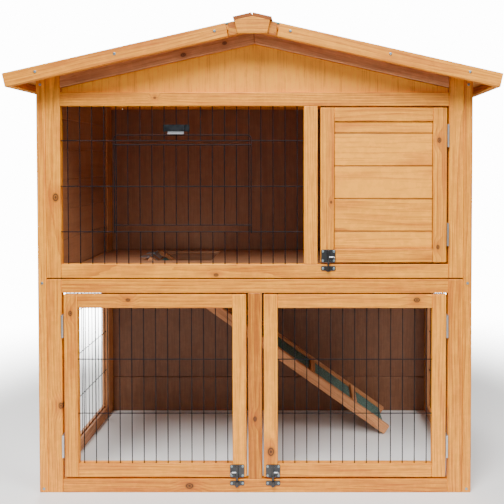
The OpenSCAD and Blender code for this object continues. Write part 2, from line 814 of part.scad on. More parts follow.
module cabin_door_boards() {
    z0 = cabin_door_z + bar_w + joint;
    z1 = cabin_door_z + cabin_door_h - bar_w - joint;
    color(timber)
        board_rows(cabin_door_x0 + bar_w + joint, cabin_door_x1 - bar_w - joint,
                   y_front + board_set, y_front + board_set + board_t, z0, z1,
                   cabin_door_z + first_joint, door_board_pitch);
}

module cabin_door_hinge_leaves() { color(zinc) for (z = cabin_hinges) hinge_leaf(z, -1); }

module cabin_door_latch() { color(zinc) latch(cabin_bolt_x, cabin_door_z); }

module cabin_door_bolt() { color(zinc) bolt(cabin_bolt_x, cabin_door_z, 1); }

module run_door_mesh() {
    x0 = run_door_x0 + bar_w;
    x1 = run_door_x1 - bar_w;
    z0 = run_door_z + bar_w;
    z1 = run_door_z + run_door_h - bar_w;
    n = wire_count(x1 - x0);
    first = (x0 + x1 - (n - 1) * mesh_pitch) / 2;
    wire_grid([for (i = [0 : n - 1]) first + i * mesh_pitch], z0 - wire_in, z1 + wire_in,
              [z1 - door_wire_drop, z1 - door_wire_drop - door_wire_pitch],
              x0 - wire_in, x1 + wire_in);
}

module run_door_frame() { door_frame(run_door_x0, run_door_x1, run_door_z, run_door_h, true); }

module left_run_door_frame() { color(timber) mirror([1, 0, 0]) run_door_frame(); }

module right_run_door_frame() { color(timber) run_door_frame(); }

module left_run_door_mesh() { color(black_wire) mirror([1, 0, 0]) run_door_mesh(); }

module right_run_door_mesh() { color(black_wire) run_door_mesh(); }

module left_run_door_hinge_leaves() {
    color(zinc) mirror([1, 0, 0]) for (z = run_hinges) hinge_leaf(z, -1);
}

module right_run_door_hinge_leaves() { color(zinc) for (z = run_hinges) hinge_leaf(z, -1); }

module left_run_door_latch() { color(zinc) latch(-run_bolt_x, run_door_z); }

module right_run_door_latch() { color(zinc) latch(run_bolt_x, run_door_z); }

module left_run_door_bolt() { color(zinc) bolt(-run_bolt_x, run_door_z, -1); }

module right_run_door_bolt() { color(zinc) bolt(run_bolt_x, run_door_z, 1); }

// ---- Feed flap and its clip ----

// The flap's side wires end below in eyes round the pivot wire
module wire_flap() {
    x0 = flap_x0 - flap_over + wire_d;
    x1 = flap_x1 + flap_over;
    uprights = [for (i = [1 : flap_spaces - 1]) flap_x0 + i * mesh_pitch];
    low_cross = pivot_z + flap_low;
    high_cross = flap_z1 - flap_high;
    eye_out = eye_r + wire_d * 0.75;
    color(black_wire) difference() {
        union() {
            for (x = [x0, x1]) {
                wire_z(x, flap_y, pivot_z, flap_z1);
                translate([x - wire_d / 2, cross_y, pivot_z]) rotate([0, 90, 0])
                    cylinder(r = eye_out, h = wire_d, $fn = 32);
            }
            wire_x(x0, x1, flap_y, flap_z1);
            for (x = [x0, x1]) translate([x, flap_y, flap_z1]) sphere(d = wire_d, $fn = 24);
            for (z = [low_cross, middle_z, high_cross]) wire_x(x0, x1, flap_cross_y, z);
            for (x = uprights) wire_z(x, flap_y, low_cross, high_cross);
        }
        translate([x0 - wire_d, cross_y, pivot_z]) rotate([0, 90, 0])
            cylinder(r = eye_r, h = x1 - x0 + 2 * wire_d, $fn = 32);
    }
}

module clip_slider() {
    color(zinc) {
        bar([clip_x - blade_w / 2, blade_y, blade_low],
            [clip_x + blade_w / 2, blade_y + blade_t, blade_high]);
        bar([clip_x - blade_w / 2, blade_y - blade_lip, blade_low],
            [clip_x + blade_w / 2, blade_y + blade_t / 2, blade_low + blade_t]);
    }
}

// ---- Ramp ----

module on_ramp() { translate([ramp_pivot_x, 0, ramp_pivot_z]) rotate([0, ramp_a, 0]) children(); }

// Rails and, between them, the cross battens that stand on the deck
module ramp_rails() {
    color(timber) on_ramp() {
        for (y = [ramp_y0, ramp_y1 - ramp_rail_t])
            bar([deck_start, y, -rail_low], [ramp_len, y + ramp_rail_t, rail_top]);
        for (u = [ramp_len - batten_foot : -batten_pitch : felt_start + first_batten])
            translate([u, 0, deck_top + ramp_felt_t])
                bar([-batten_w / 2, ramp_y0 + ramp_rail_t + joint, 0],
                    [batten_w / 2, ramp_y1 - ramp_rail_t - joint, batten_h]);
    }
}

module ramp_deck() {
    color(deep_timber) on_ramp()
        bar([deck_start, ramp_y0 + ramp_rail_t, deck_top - deck_t],
            [ramp_len - deck_short, ramp_y1 - ramp_rail_t, deck_top]);
}

module ramp_felt() {
    color(green_felt) on_ramp()
        bar([felt_start, ramp_y0 + ramp_rail_t, deck_top],
            [ramp_len - deck_short, ramp_y1 - ramp_rail_t, deck_top + ramp_felt_t]);
}

module ramp_hinge_leaves() {
    third = ramp_hinge_len / 3;
    color(zinc) on_ramp() for (y = ramp_hinge_y) difference() {
        union() {
            ramp_knuckles(y, [[third, 2 * third]]);
            bar([0, y - third / 2, deck_top], [knuckle_r + 1, y + third / 2, deck_top + leaf_t]);
            bar([knuckle_r + 0.6, y - ramp_hinge_len / 2, deck_top],
                [deck_leaf, y + ramp_hinge_len / 2, deck_top + leaf_t]);
        }
        ramp_pin_hole(y);
    }
}

corner_strips();
left_run_side_frame();
right_run_side_frame();
left_run_side_mesh();
right_run_side_mesh();
cabin_side_frames();
left_cabin_boards();
right_cabin_boards();
run_back_frame();
run_back_wall();
cabin_back_frame();
cabin_back_wall();
run_front_stiles();
run_head_rail();
run_bottom_rail();
run_mullion();
cabin_front_stiles();
cabin_top_rail();
cabin_sill_rail();
cabin_mullion();
gable_rafters();
gable_panels();
cabin_floor();
floor_joists();
cabin_mesh();
roof_panels();
roof_felt();
barge_boards();
eave_battens();
ridge_boards();
ridge_blocks();
ridge_gussets();
frame_screws();
latch_keepers();
frame_hinge_leaves();
hinge_pins();
clip_bracket();
ramp_hinge_plates();
cabin_door_frame();
cabin_door_boards();
cabin_door_hinge_leaves();
cabin_door_latch();
cabin_door_bolt();
left_run_door_frame();
left_run_door_mesh();
left_run_door_hinge_leaves();
left_run_door_latch();
left_run_door_bolt();
right_run_door_frame();
right_run_door_mesh();
right_run_door_hinge_leaves();
right_run_door_latch();
right_run_door_bolt();
wire_flap();
clip_slider();
ramp_rails();
ramp_deck();
ramp_felt();
ramp_hinge_leaves();
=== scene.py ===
"""Looks of a two-level rabbit hutch: stained timber with rounded edges, coated wire mesh,
zinc fittings and mineral felt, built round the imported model. Lengths are in metres."""

import json
import math
import random

import bmesh
import bpy
from bpy.props import FloatProperty, FloatVectorProperty, IntProperty, PointerProperty
from bpy.types import Operator, Panel, PropertyGroup
from mathutils import Matrix, Vector, noise


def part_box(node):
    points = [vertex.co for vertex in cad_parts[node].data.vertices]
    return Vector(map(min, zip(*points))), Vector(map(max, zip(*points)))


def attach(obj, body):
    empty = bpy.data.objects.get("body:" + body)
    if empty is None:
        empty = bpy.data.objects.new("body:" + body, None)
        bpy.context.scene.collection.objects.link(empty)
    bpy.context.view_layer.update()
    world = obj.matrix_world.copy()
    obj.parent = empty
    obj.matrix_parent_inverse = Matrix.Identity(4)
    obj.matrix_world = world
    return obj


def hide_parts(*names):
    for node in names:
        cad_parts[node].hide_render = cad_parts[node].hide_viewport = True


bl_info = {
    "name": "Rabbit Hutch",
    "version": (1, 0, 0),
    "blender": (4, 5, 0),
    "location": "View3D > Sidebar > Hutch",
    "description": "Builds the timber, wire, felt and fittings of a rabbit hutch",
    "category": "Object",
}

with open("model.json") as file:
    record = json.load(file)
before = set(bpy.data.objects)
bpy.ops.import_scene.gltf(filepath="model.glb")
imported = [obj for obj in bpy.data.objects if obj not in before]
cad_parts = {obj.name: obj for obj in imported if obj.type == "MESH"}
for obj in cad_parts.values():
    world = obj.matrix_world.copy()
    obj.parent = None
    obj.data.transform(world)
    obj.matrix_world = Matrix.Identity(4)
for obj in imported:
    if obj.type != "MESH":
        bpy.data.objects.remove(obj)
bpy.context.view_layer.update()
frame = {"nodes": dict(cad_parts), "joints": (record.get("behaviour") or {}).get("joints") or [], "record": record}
NODES = frame["nodes"]
BODY_OF = {node: body for body, members in frame["record"]["behaviour"]["bodies"].items()
           for node in members}
SLOT_OF = {part["node"]: part["material_slot"] for part in frame["record"]["subparts"]}
PIVOTS = {joint["name"]: Vector(joint["pos_m"]) for joint in frame["joints"] if "pos_m" in joint}

MM = 0.001

# Knots that show on the front: node, place across and up, radius
KNOTS = [
    ("left_run_door_frame", -0.263, 0.404, 0.0036),
    ("left_run_door_frame", -0.383, 0.376, 0.0042),
    ("right_run_door_frame", 0.336, 0.404, 0.0050),
    ("right_run_door_frame", 0.033, 0.086, 0.0070),
    ("run_front_stiles", -0.404, 0.183, 0.0050),
    ("cabin_front_stiles", -0.411, 0.617, 0.0062),
    ("run_bottom_rail", -0.137, 0.014, 0.0062),
    ("run_mullion", 0.000, 0.155, 0.0040),
    ("cabin_door_frame", 0.381, 0.735, 0.0040),
    ("cabin_door_frame", 0.379, 0.514, 0.0034),
    ("cabin_door_frame", 0.158, 0.607, 0.0022),
    ("cabin_sill_rail", -0.080, 0.456, 0.0036),
    ("cabin_top_rail", -0.205, 0.822, 0.0022),
    ("barge_boards", -0.235, 0.930, 0.0054),
    ("gable_rafters", -0.146, 0.910, 0.0040),
    ("gable_rafters", -0.061, 0.934, 0.0034),
]

# How much darker (below 0) or lighter a node's timber is than the usual; on the inside pieces this is painted
# light and shade
TONES_AND_PAINTED_LIGHT = {
    "run_mullion": -0.55, "run_bottom_rail": -0.25, "cabin_door_boards": 0.45,
    "cabin_sill_rail": 0.1, "run_front_stiles": -0.15, "gable_rafters": -0.25,
    # Painted light on the cabin floor and the cabin side boards; painted shade on the run's back wall
    "cabin_floor": 1.2, "left_cabin_boards": 0.7, "right_cabin_boards": 0.7,
    "run_back_wall": -0.6, "ridge_gussets": -0.6, "ridge_boards": -1.5, "ridge_blocks": -0.3, "ramp_rails": -0.1,
}


class HutchTimberSettings(PropertyGroup):
    """Sizes and colours of the timber"""

    edge_round: FloatProperty(
        name="Edge radius", description="How far the timber's edges are rounded",
        default=1.5 * MM, min=0.2 * MM, max=4 * MM, unit="LENGTH")
    board_round: FloatProperty(
        name="Board edge radius", description="How far the edges of thin boards are rounded",
        default=1.6 * MM, min=0.2 * MM, max=3 * MM, unit="LENGTH")
    variety: FloatProperty(
        name="Variety", description="How much one bar's tone differs from the next",
        default=0.16, min=0, max=1, subtype="FACTOR")
    pale: FloatVectorProperty(
        name="Pale wood", description="Colour of the early wood",
        default=(0.98, 0.385, 0.018), size=3, min=0, max=1, subtype="COLOR")
    deep: FloatVectorProperty(
        name="Deep wood", description="Colour of the late wood",
        default=(0.46, 0.112, 0.006), size=3, min=0, max=1, subtype="COLOR")
    red: FloatVectorProperty(
        name="Stain", description="Colour where the stain has gathered",
        default=(0.50, 0.112, 0.012), size=3, min=0, max=1, subtype="COLOR")
    # Inside colours: the stain darkened as painted shade, for the pieces inside the cabin and the run
    inside_shade_pale: FloatVectorProperty(
        name="Inside, pale", description="Colour of the early wood of the inner boards",
        default=(0.37, 0.170, 0.085), size=3, min=0, max=1, subtype="COLOR")
    inside_shade_deep: FloatVectorProperty(
        name="Inside, deep", description="Colour of the late wood of the inner boards",
        default=(0.23, 0.092, 0.046), size=3, min=0, max=1, subtype="COLOR")
    # Sheltered colours: darker and less saturated than the outer stain, as painted shade on bars under the roof
    # and at the sides and back
    shade_painted_pale: FloatVectorProperty(
        name="Sheltered, pale", description="Colour of the early wood of sheltered bars",
        default=(0.74, 0.335, 0.135), size=3, min=0, max=1, subtype="COLOR")
    shade_painted_deep: FloatVectorProperty(
        name="Sheltered, deep", description="Colour of the late wood of sheltered bars",
        default=(0.44, 0.155, 0.055), size=3, min=0, max=1, subtype="COLOR")
    knot: FloatVectorProperty(
        name="Knot", description="Colour of the knots",
        default=(0.055, 0.020, 0.008), size=3, min=0, max=1, subtype="COLOR")


class HutchFittingSettings(PropertyGroup):
    """Sizes and colours of the wire, the felt and the fittings"""

    wire_diameter: FloatProperty(
        name="Wire diameter", description="Diameter of the mesh wires",
        default=2 * MM, min=1 * MM, max=4 * MM, unit="LENGTH")
    mesh_pitch: FloatProperty(
        name="Mesh pitch", description="Spacing of the upright wires",
        default=25 * MM, min=10 * MM, max=60 * MM, unit="LENGTH")
    mesh_edge: FloatProperty(
        name="Mesh edge", description="Least room beside the outer wires, both sides together",
        default=15 * MM, min=2 * MM, max=40 * MM, unit="LENGTH")
    mesh_lap: FloatProperty(
        name="Mesh lap", description="Length of the wires that is held in the timber",
        default=4 * MM, min=1 * MM, max=10 * MM, unit="LENGTH")
    wire_sides: IntProperty(
        name="Wire sides", description="Faces round each wire", default=8, min=6, max=24)
    screw_radius: FloatProperty(
        name="Screw head radius", description="Radius of the screw heads",
        default=2.9 * MM, min=1 * MM, max=6 * MM, unit="LENGTH")
    nail_pitch: FloatProperty(
        name="Nail pitch", description="Spacing of the nails that hold the roof felt",
        default=62 * MM, min=20 * MM, max=200 * MM, unit="LENGTH")
    felt_cell: FloatProperty(
        name="Felt cell", description="Size of the felt's mesh cells",
        default=9 * MM, min=3 * MM, max=40 * MM, unit="LENGTH")
    coating: FloatVectorProperty(
        name="Coating", description="Colour of the coated wire",
        default=(0.004, 0.005, 0.007), size=3, min=0, max=1, subtype="COLOR")
    screw: FloatVectorProperty(
        name="Screws", description="Colour of the screw heads",
        default=(0.36, 0.47, 0.52), size=3, min=0, max=1, subtype="COLOR")
    steel: FloatVectorProperty(
        name="Latch steel", description="Colour of the latches' tarnished plate",
        default=(0.085, 0.09, 0.095), size=3, min=0, max=1, subtype="COLOR")
    zinc: FloatVectorProperty(
        name="Zinc", description="Colour of the zinc plate",
        default=(0.60, 0.63, 0.66), size=3, min=0, max=1, subtype="COLOR")
    felt: FloatVectorProperty(
        name="Felt", description="Colour of the felt's mineral coat",
        default=(0.062, 0.150, 0.122), size=3, min=0, max=1, subtype="COLOR")


class HutchStageSettings(PropertyGroup):
    """Place of the camera and strength of the lights"""

    camera_at: FloatVectorProperty(
        name="Camera", description="Where the camera stands",
        default=(0.114, -1.588, 0.692), size=3, subtype="TRANSLATION")
    camera_pitch: FloatProperty(
        name="Pitch", description="How far the camera looks down",
        default=math.radians(1.42), subtype="ANGLE")
    camera_lens: FloatProperty(
        name="Lens", description="Focal length in millimetres", default=47.2, min=10, max=200)
    camera_shift: FloatVectorProperty(
        name="Shift", description="Lens shift to the side and up", default=(-0.1147, -0.148),
        size=2)
    key_power: FloatProperty(
        name="Key light", description="Power of the large front light", default=315, min=0)
    world_power: FloatProperty(
        name="Surroundings", description="Brightness of the white surroundings", default=0.12,
        min=0)


# ---- Meshes ----

def merged_copy(node):
    """A CAD node's surface, with its corners joined and its flat faces whole."""
    mesh = bmesh.new()
    mesh.from_mesh(NODES[node].data)
    bmesh.ops.remove_doubles(mesh, verts=mesh.verts, dist=0.005 * MM)
    bmesh.ops.dissolve_limit(mesh, angle_limit=math.radians(0.5), verts=mesh.verts,
                             edges=mesh.edges)
    return mesh


def islands(mesh):
    """The mesh's separate solids, each as a list of vertices."""
    left = set(mesh.verts)
    found = []
    while left:
        group = [left.pop()]
        for vert in group:
            for edge in vert.link_edges:
                other = edge.other_vert(vert)
                if other in left:
                    left.remove(other)
                    group.append(other)
        found.append(group)
    return sorted(found, key=lambda verts: min(tuple(round(c, 4) for c in v.co) for v in verts))


def box_of(verts):
    """Lowest and highest corner of some vertices."""
    low = Vector(min(v.co[k] for v in verts) for k in range(3))
    high = Vector(max(v.co[k] for v in verts) for k in range(3))
    return low, high


def finish_piece(name, mesh, material, body, slot, *replaced):
    """Makes a piece from a bmesh or a mesh, hangs it on its body and hides the nodes that it replaces."""
    if isinstance(mesh, bmesh.types.BMesh):
        data = bpy.data.meshes.new(name)
        mesh.to_mesh(data)
        mesh.free()
    else:
        data = mesh
    data.name = name
    data.materials.clear()
    data.materials.append(material)
    piece = bpy.data.objects.new(name, data)
    bpy.context.scene.collection.objects.link(piece)
    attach(piece, body)
    if replaced:
        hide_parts(*replaced)
    return piece


def joined(meshes):
    """One bmesh that holds all of these meshes."""
    whole = bmesh.new()
    for data in meshes:
        whole.from_mesh(data)
    return whole


# ---- Timber ----

def bar_axes(verts, grain_up):
    """A bar's centre, its axes along, across and through it, and half its size on each."""
    edges = {edge for vert in verts for edge in vert.link_edges}
    lines = sorted(((e.verts[1].co - e.verts[0].co) for e in edges),
                   key=lambda line: -line.length)
    along = Vector((0, 0, 1)) if grain_up else lines[0].normalized()
    side = next(line for line in lines if abs(line.normalized().dot(along)) < 0.35)
    side = (side - along * side.dot(along)).normalized()
    axes = [along, side, along.cross(side)]
    spans = [[v.co.dot(axis) for v in verts] for axis in axes]
    if max(spans[2]) - min(spans[2]) > max(spans[1]) - min(spans[1]):
        axes[1], axes[2], spans[1], spans[2] = axes[2], axes[1], spans[2], spans[1]
    centre = sum(((max(s) + min(s)) / 2 * axis for s, axis in zip(spans, axes)), Vector())
    return centre, axes, [(max(s) - min(s)) / 2 for s in spans]


GRAIN_UP = ("gable_panels", "run_back_wall", "cabin_back_wall")
# Pieces that take the inside colours, darkened as painted shade
INSIDE = ("run_back_wall", "cabin_back_wall", "left_cabin_boards", "right_cabin_boards",
          "cabin_floor", "floor_joists", "ramp_deck")
# Bars in the shade of the roof and the sides, given the darker sheltered colours as painted shade
SHADE_PAINTED_BARS = ("ramp_rails", "cabin_side_frames", "cabin_back_frame", "run_back_frame",
             "left_run_side_frame", "right_run_side_frame", "gable_rafters")
TONGUED = ("left_cabin_boards", "right_cabin_boards", "cabin_door_boards")


def timber_mesh(node, radius, variety):
    """A node's bars with rounded edges, and what the material reads: grain (along, across, through),
    the two nearest knots, the tone, and the rim, which marks the rounded faces for painted light."""
    mesh = merged_copy(node)
    mesh.faces.layers.float.new("rim")
    for name in ("grain", "knot_a", "knot_b"):
        mesh.verts.layers.float_vector.new(name)
    mesh.verts.layers.float.new("tone")
    rim = mesh.faces.layers.float["rim"]
    grain, *knots = (mesh.verts.layers.float_vector[n] for n in ("grain", "knot_a", "knot_b"))
    tone = mesh.verts.layers.float["tone"]
    edges = [e for e in mesh.edges
             if len(e.link_faces) == 2 and e.is_convex and e.calc_face_angle() > 0.2
             and e.calc_length() > 3 * MM]
    rounded = bmesh.ops.bevel(mesh, geom=edges, offset=radius, offset_type="OFFSET",
                              segments=2, profile=0.5, affect="EDGES", clamp_overlap=True)
    for face in rounded["faces"]:
        face.smooth = True
        face[rim] = 1
    if node in TONGUED:
        add_tongues(mesh, islands(mesh))
    dice = random.Random(node)
    for verts in islands(mesh):
        centre, axes, half = bar_axes(verts, node in GRAIN_UP)
        pith = Vector((dice.uniform(0, 40), dice.choice((-1, 1)) * dice.uniform(0.01, 0.06),
                       dice.uniform(0.015, 0.07)))
        shade = TONES_AND_PAINTED_LIGHT.get(node, 0) + dice.uniform(-1, 1) * variety
        spots = [spot for spot in (
            local_knot(knot, centre, axes, half) for knot in KNOTS if knot[0] == node) if spot]
        for vert in verts:
            place = Vector((vert.co - centre).dot(axis) for axis in axes)
            vert[grain] = place + pith
            vert[tone] = shade
            for layer, spot in zip(knots, spots + [None, None]):
                vert[layer] = knot_vector(place, spot)
    return mesh


def add_tongues(mesh, solids):
    """Closes the joints between stacked boards with thin tongues, set back from both faces."""
    boxes = sorted((box_of(verts) for verts in solids), key=lambda box: box[0].z)
    for below, above in zip(boxes, boxes[1:]):
        low = Vector((above[0].x, above[0].y, below[1].z - MM))
        high = Vector((above[1].x, above[1].y, above[0].z + MM))
        if high.z - low.z > 5 * MM or high.z < low.z:
            continue
        thin = 0 if high.x - low.x < high.y - low.y else 1
        middle = (low[thin] + high[thin]) / 2
        low[thin], high[thin] = middle - 1.5 * MM, middle + 1.5 * MM
        low[1 - thin] += 2 * MM
        high[1 - thin] -= 2 * MM
        outline = [(low.x, low.z), (high.x, low.z), (high.x, high.z), (low.x, high.z)]
        add_prism(mesh, outline, low.y, high.y)


def local_knot(knot, centre, axes, half):
    """A knot's place along and across a bar, if it lies on that bar's front."""
    _, x, z, radius = knot
    offset = Vector((x, centre.y, z)) - centre
    along, across = offset.dot(axes[0]), offset.dot(axes[1])
    if centre.y > 0 or abs(along) > half[0] or abs(across) > half[1]:
        return None
    return along, across, radius * 1.3


def knot_vector(place, spot):
    """Where a point stands from a knot, in knot radii. It is far off if there is no knot."""
    if spot is None:
        return Vector((100, 100, 0))
    along, across, radius = spot
    return Vector(((place.x - along) / radius, (place.y - across) / radius, place.z / radius))


# ---- Rods, plates and screw heads ----

def add_rod(mesh, points, radius, sides=12):
    """Adds a round rod along some points, with domed ends."""
    points = [Vector(p) for p in points]
    first = (points[1] - points[0]).normalized()
    last = (points[-1] - points[-2]).normalized()
    stations = [(points[0] - first * radius * math.cos(a), first, radius * math.sin(a))
                for a in (0.35, 0.8, 1.2)]
    for k, point in enumerate(points):
        before = points[max(k - 1, 0)]
        after = points[min(k + 1, len(points) - 1)]
        stations.append((point, (after - before).normalized(), radius))
    stations += [(points[-1] + last * radius * math.cos(a), last, radius * math.sin(a))
                 for a in (1.2, 0.8, 0.35)]
    normal = first.orthogonal().normalized()
    rings = []
    facing = first
    for centre, tangent, width in stations:
        normal = facing.rotation_difference(tangent) @ normal
        facing = tangent
        binormal = tangent.cross(normal)
        turns = [2 * math.pi * k / sides for k in range(sides)]
        rings.append([mesh.verts.new(centre + (normal * math.cos(t) + binormal * math.sin(t))
                                     * width) for t in turns])
    faces = []
    for low, high in zip(rings, rings[1:]):
        for k in range(sides):
            j = (k + 1) % sides
            faces.append(mesh.faces.new((low[k], low[j], high[j], high[k])))
    faces.append(mesh.faces.new(rings[0][::-1]))
    faces.append(mesh.faces.new(rings[-1]))
    for face in faces:
        face.smooth = True
    return faces


def add_prism(mesh, outline, low, high, axis=1):
    """Adds a solid with this outline, drawn from low to high on an axis. Returns its faces."""
    def point(pair, level):
        place = list(pair)
        place.insert(axis, level)
        return Vector(place)
    bottom = [mesh.verts.new(point(pair, low)) for pair in outline]
    top = [mesh.verts.new(point(pair, high)) for pair in outline]
    faces = [mesh.faces.new(bottom[::-1]), mesh.faces.new(top)]
    count = len(outline)
    for k in range(count):
        j = (k + 1) % count
        faces.append(mesh.faces.new((bottom[k], bottom[j], top[j], top[k])))
    bmesh.ops.recalc_face_normals(mesh, faces=faces)
    return faces


def round_rectangle(x0, x1, z0, z1, radius, steps=5):
    """Outline of a rectangle with round corners."""
    corners = [(x1 - radius, z1 - radius, 0), (x0 + radius, z1 - radius, 1),
               (x0 + radius, z0 + radius, 2), (x1 - radius, z0 + radius, 3)]
    outline = []
    for x, z, quarter in corners:
        for k in range(steps + 1):
            angle = math.pi / 2 * (quarter + k / steps)
            outline.append((x + radius * math.cos(angle), z + radius * math.sin(angle)))
    return outline


def soften(mesh, faces, radius):
    """Rounds the sharp edges of some faces a little."""
    edges = {e for f in faces if f.is_valid for e in f.edges
             if len(e.link_faces) == 2 and e.calc_face_angle() > 0.6}
    bmesh.ops.bevel(mesh, geom=list(edges), offset=radius, offset_type="OFFSET", segments=2,
                    profile=0.5, affect="EDGES", clamp_overlap=True)


def screw_head(radius):
    """A pan-head screw's head with a cross recess, its underside at the origin, facing -Y."""
    dome = bmesh.new()
    sides = 20
    profile = [(1.0, 0.0), (1.0, 0.12), (0.93, 0.26), (0.76, 0.37), (0.48, 0.43)]
    rings = []
    for share, height in profile:
        turns = [2 * math.pi * k / sides for k in range(sides)]
        rings.append([dome.verts.new((share * radius * math.cos(t), -height * radius,
                                      share * radius * math.sin(t))) for t in turns])
    for low, high in zip(rings, rings[1:]):
        for k in range(sides):
            j = (k + 1) % sides
            dome.faces.new((low[k], low[j], high[j], high[k])).smooth = True
    dome.faces.new(rings[0])
    dome.faces.new(rings[-1])
    bmesh.ops.recalc_face_normals(dome, faces=dome.faces)
    cutter = bmesh.new()
    arm, slit = 0.62 * radius, 0.13 * radius
    plus = [(slit, slit), (slit, arm), (-slit, arm), (-slit, slit), (-arm, slit),
            (-arm, -slit), (-slit, -slit), (-slit, -arm), (slit, -arm), (slit, -slit),
            (arm, -slit), (arm, slit)]
    add_prism(cutter, plus, -radius, -0.2 * radius)
    head, cross = (loose_object("screw_head", dome), loose_object("screw_cross", cutter))
    cut = head.modifiers.new("cross", "BOOLEAN")
    cut.object = cross
    cut.operation = "DIFFERENCE"
    cut.solver = "EXACT"
    head.data = evaluated_mesh(head)
    head.modifiers.clear()
    bpy.data.objects.remove(cross)
    return head


def nail_head(radius):
    """A flat nail head, its underside at the origin, facing +Z."""
    disc = bmesh.new()
    sides = 12
    turns = [2 * math.pi * k / sides for k in range(sides)]
    rings = [[disc.verts.new((share * radius * math.cos(t), share * radius * math.sin(t), h))
              for t in turns] for share, h in ((1, -1.4 * MM), (1, 0.4 * MM), (0.7, 0.7 * MM))]
    for low, high in zip(rings, rings[1:]):
        for k in range(sides):
            j = (k + 1) % sides
            disc.faces.new((low[k], low[j], high[j], high[k])).smooth = True
    disc.faces.new(rings[0])
    disc.faces.new(rings[-1])
    bmesh.ops.recalc_face_normals(disc, faces=disc.faces)
    return loose_object("nail_head", disc)


def loose_object(name, mesh):
    """A helper object that is removed again before the end."""
    data = bpy.data.meshes.new(name)
    mesh.to_mesh(data)
    mesh.free()
    thing = bpy.data.objects.new(name, data)
    bpy.context.scene.collection.objects.link(thing)
    return thing


def evaluated_mesh(thing):
    """A plain mesh of what an object's modifiers make of it."""
    graph = bpy.context.evaluated_depsgraph_get()
    return bpy.data.meshes.new_from_object(thing.evaluated_get(graph), depsgraph=graph)


# ---- Geometry Nodes ----

class Net:
    """Adds nodes to a tree. An input takes a value, or another node's output."""

    def __init__(self, tree):
        self.tree = tree

    def add(self, kind, inputs=None, **settings):
        node = self.tree.nodes.new(kind)
        for name, value in settings.items():
            setattr(node, name, value)
        for name, value in (inputs or {}).items():
            socket = node.inputs[name]
            if isinstance(value, bpy.types.NodeSocket):
                self.tree.links.new(value, socket)
            else:
                socket.default_value = value
        return node

    def math(self, operation, *values, clamp=False):
        return self.add("ShaderNodeMath", dict(enumerate(values)), operation=operation,
                        use_clamp=clamp).outputs[0]

    def mix(self, factor, first, second, blend="MIX"):
        return self.add("ShaderNodeMix", {0: factor, 6: first, 7: second}, data_type="RGBA",
                        blend_type=blend).outputs[2]

    def fade(self, value, low, high, to_low=0.0, to_high=1.0):
        return self.add("ShaderNodeMapRange",
                        {"Value": value, "From Min": low, "From Max": high,
                         "To Min": to_low, "To Max": to_high},
                        interpolation_type="SMOOTHSTEP").outputs[0]

    def stretch(self, vector, scale):
        return self.add("ShaderNodeVectorMath", {0: vector, 1: scale},
                        operation="MULTIPLY").outputs[0]

    def noise(self, vector, scale, detail=2.0, rough=0.5):
        return self.add("ShaderNodeTexNoise", {"Vector": vector, "Scale": scale,
                                               "Detail": detail, "Roughness": rough}).outputs[0]


def new_tree(name, kind, inputs, outputs):
    """A node tree with named sockets, each given as name, type and default."""
    tree = bpy.data.node_groups.new(name, kind)
    for in_out, sockets in (("INPUT", inputs), ("OUTPUT", outputs)):
        for label, socket_type, default in sockets:
            socket = tree.interface.new_socket(name=label, in_out=in_out,
                                               socket_type="NodeSocket" + socket_type)
            if default is not None:
                socket.default_value = default
    net = Net(tree)
    return tree, net, net.add("NodeGroupInput").outputs, net.add("NodeGroupOutput").inputs


def wire_rows_tree():
    """Parallel straight wires: a row of points, each with one round wire."""
    tree, net, given, made = new_tree(
        "hutch_wire_rows", "GeometryNodeTree",
        [("Geometry", "Geometry", None), ("Count", "Int", 10), ("First", "Vector", (0, 0, 0)),
         ("Step", "Vector", (0.025, 0, 0)), ("Reach", "Vector", (0, 0, 1)),
         ("Diameter", "Float", 2 * MM), ("Sides", "Int", 8), ("Material", "Material", None)],
        [("Geometry", "Geometry", None)])
    row = net.add("GeometryNodeMeshLine", {"Count": given["Count"],
                                           "Start Location": given["First"],
                                           "Offset": given["Step"]}, mode="OFFSET")
    line = net.add("GeometryNodeCurvePrimitiveLine", {"End": given["Reach"]})
    ring = net.add("GeometryNodeCurvePrimitiveCircle", {
        "Resolution": given["Sides"], "Radius": net.math("MULTIPLY", given["Diameter"], 0.5)})
    wire = net.add("GeometryNodeCurveToMesh", {"Curve": line.outputs[0],
                                               "Profile Curve": ring.outputs[0],
                                               "Fill Caps": True})
    rows = net.add("GeometryNodeInstanceOnPoints", {"Points": row.outputs[0],
                                                    "Instance": wire.outputs[0]})
    solid = net.add("GeometryNodeRealizeInstances", {"Geometry": rows.outputs[0]})
    smooth = net.add("GeometryNodeSetShadeSmooth", {"Geometry": solid.outputs[0]})
    painted = net.add("GeometryNodeSetMaterial", {"Geometry": smooth.outputs[0],
                                                  "Material": given["Material"]})
    tree.links.new(painted.outputs[0], made["Geometry"])
    return tree


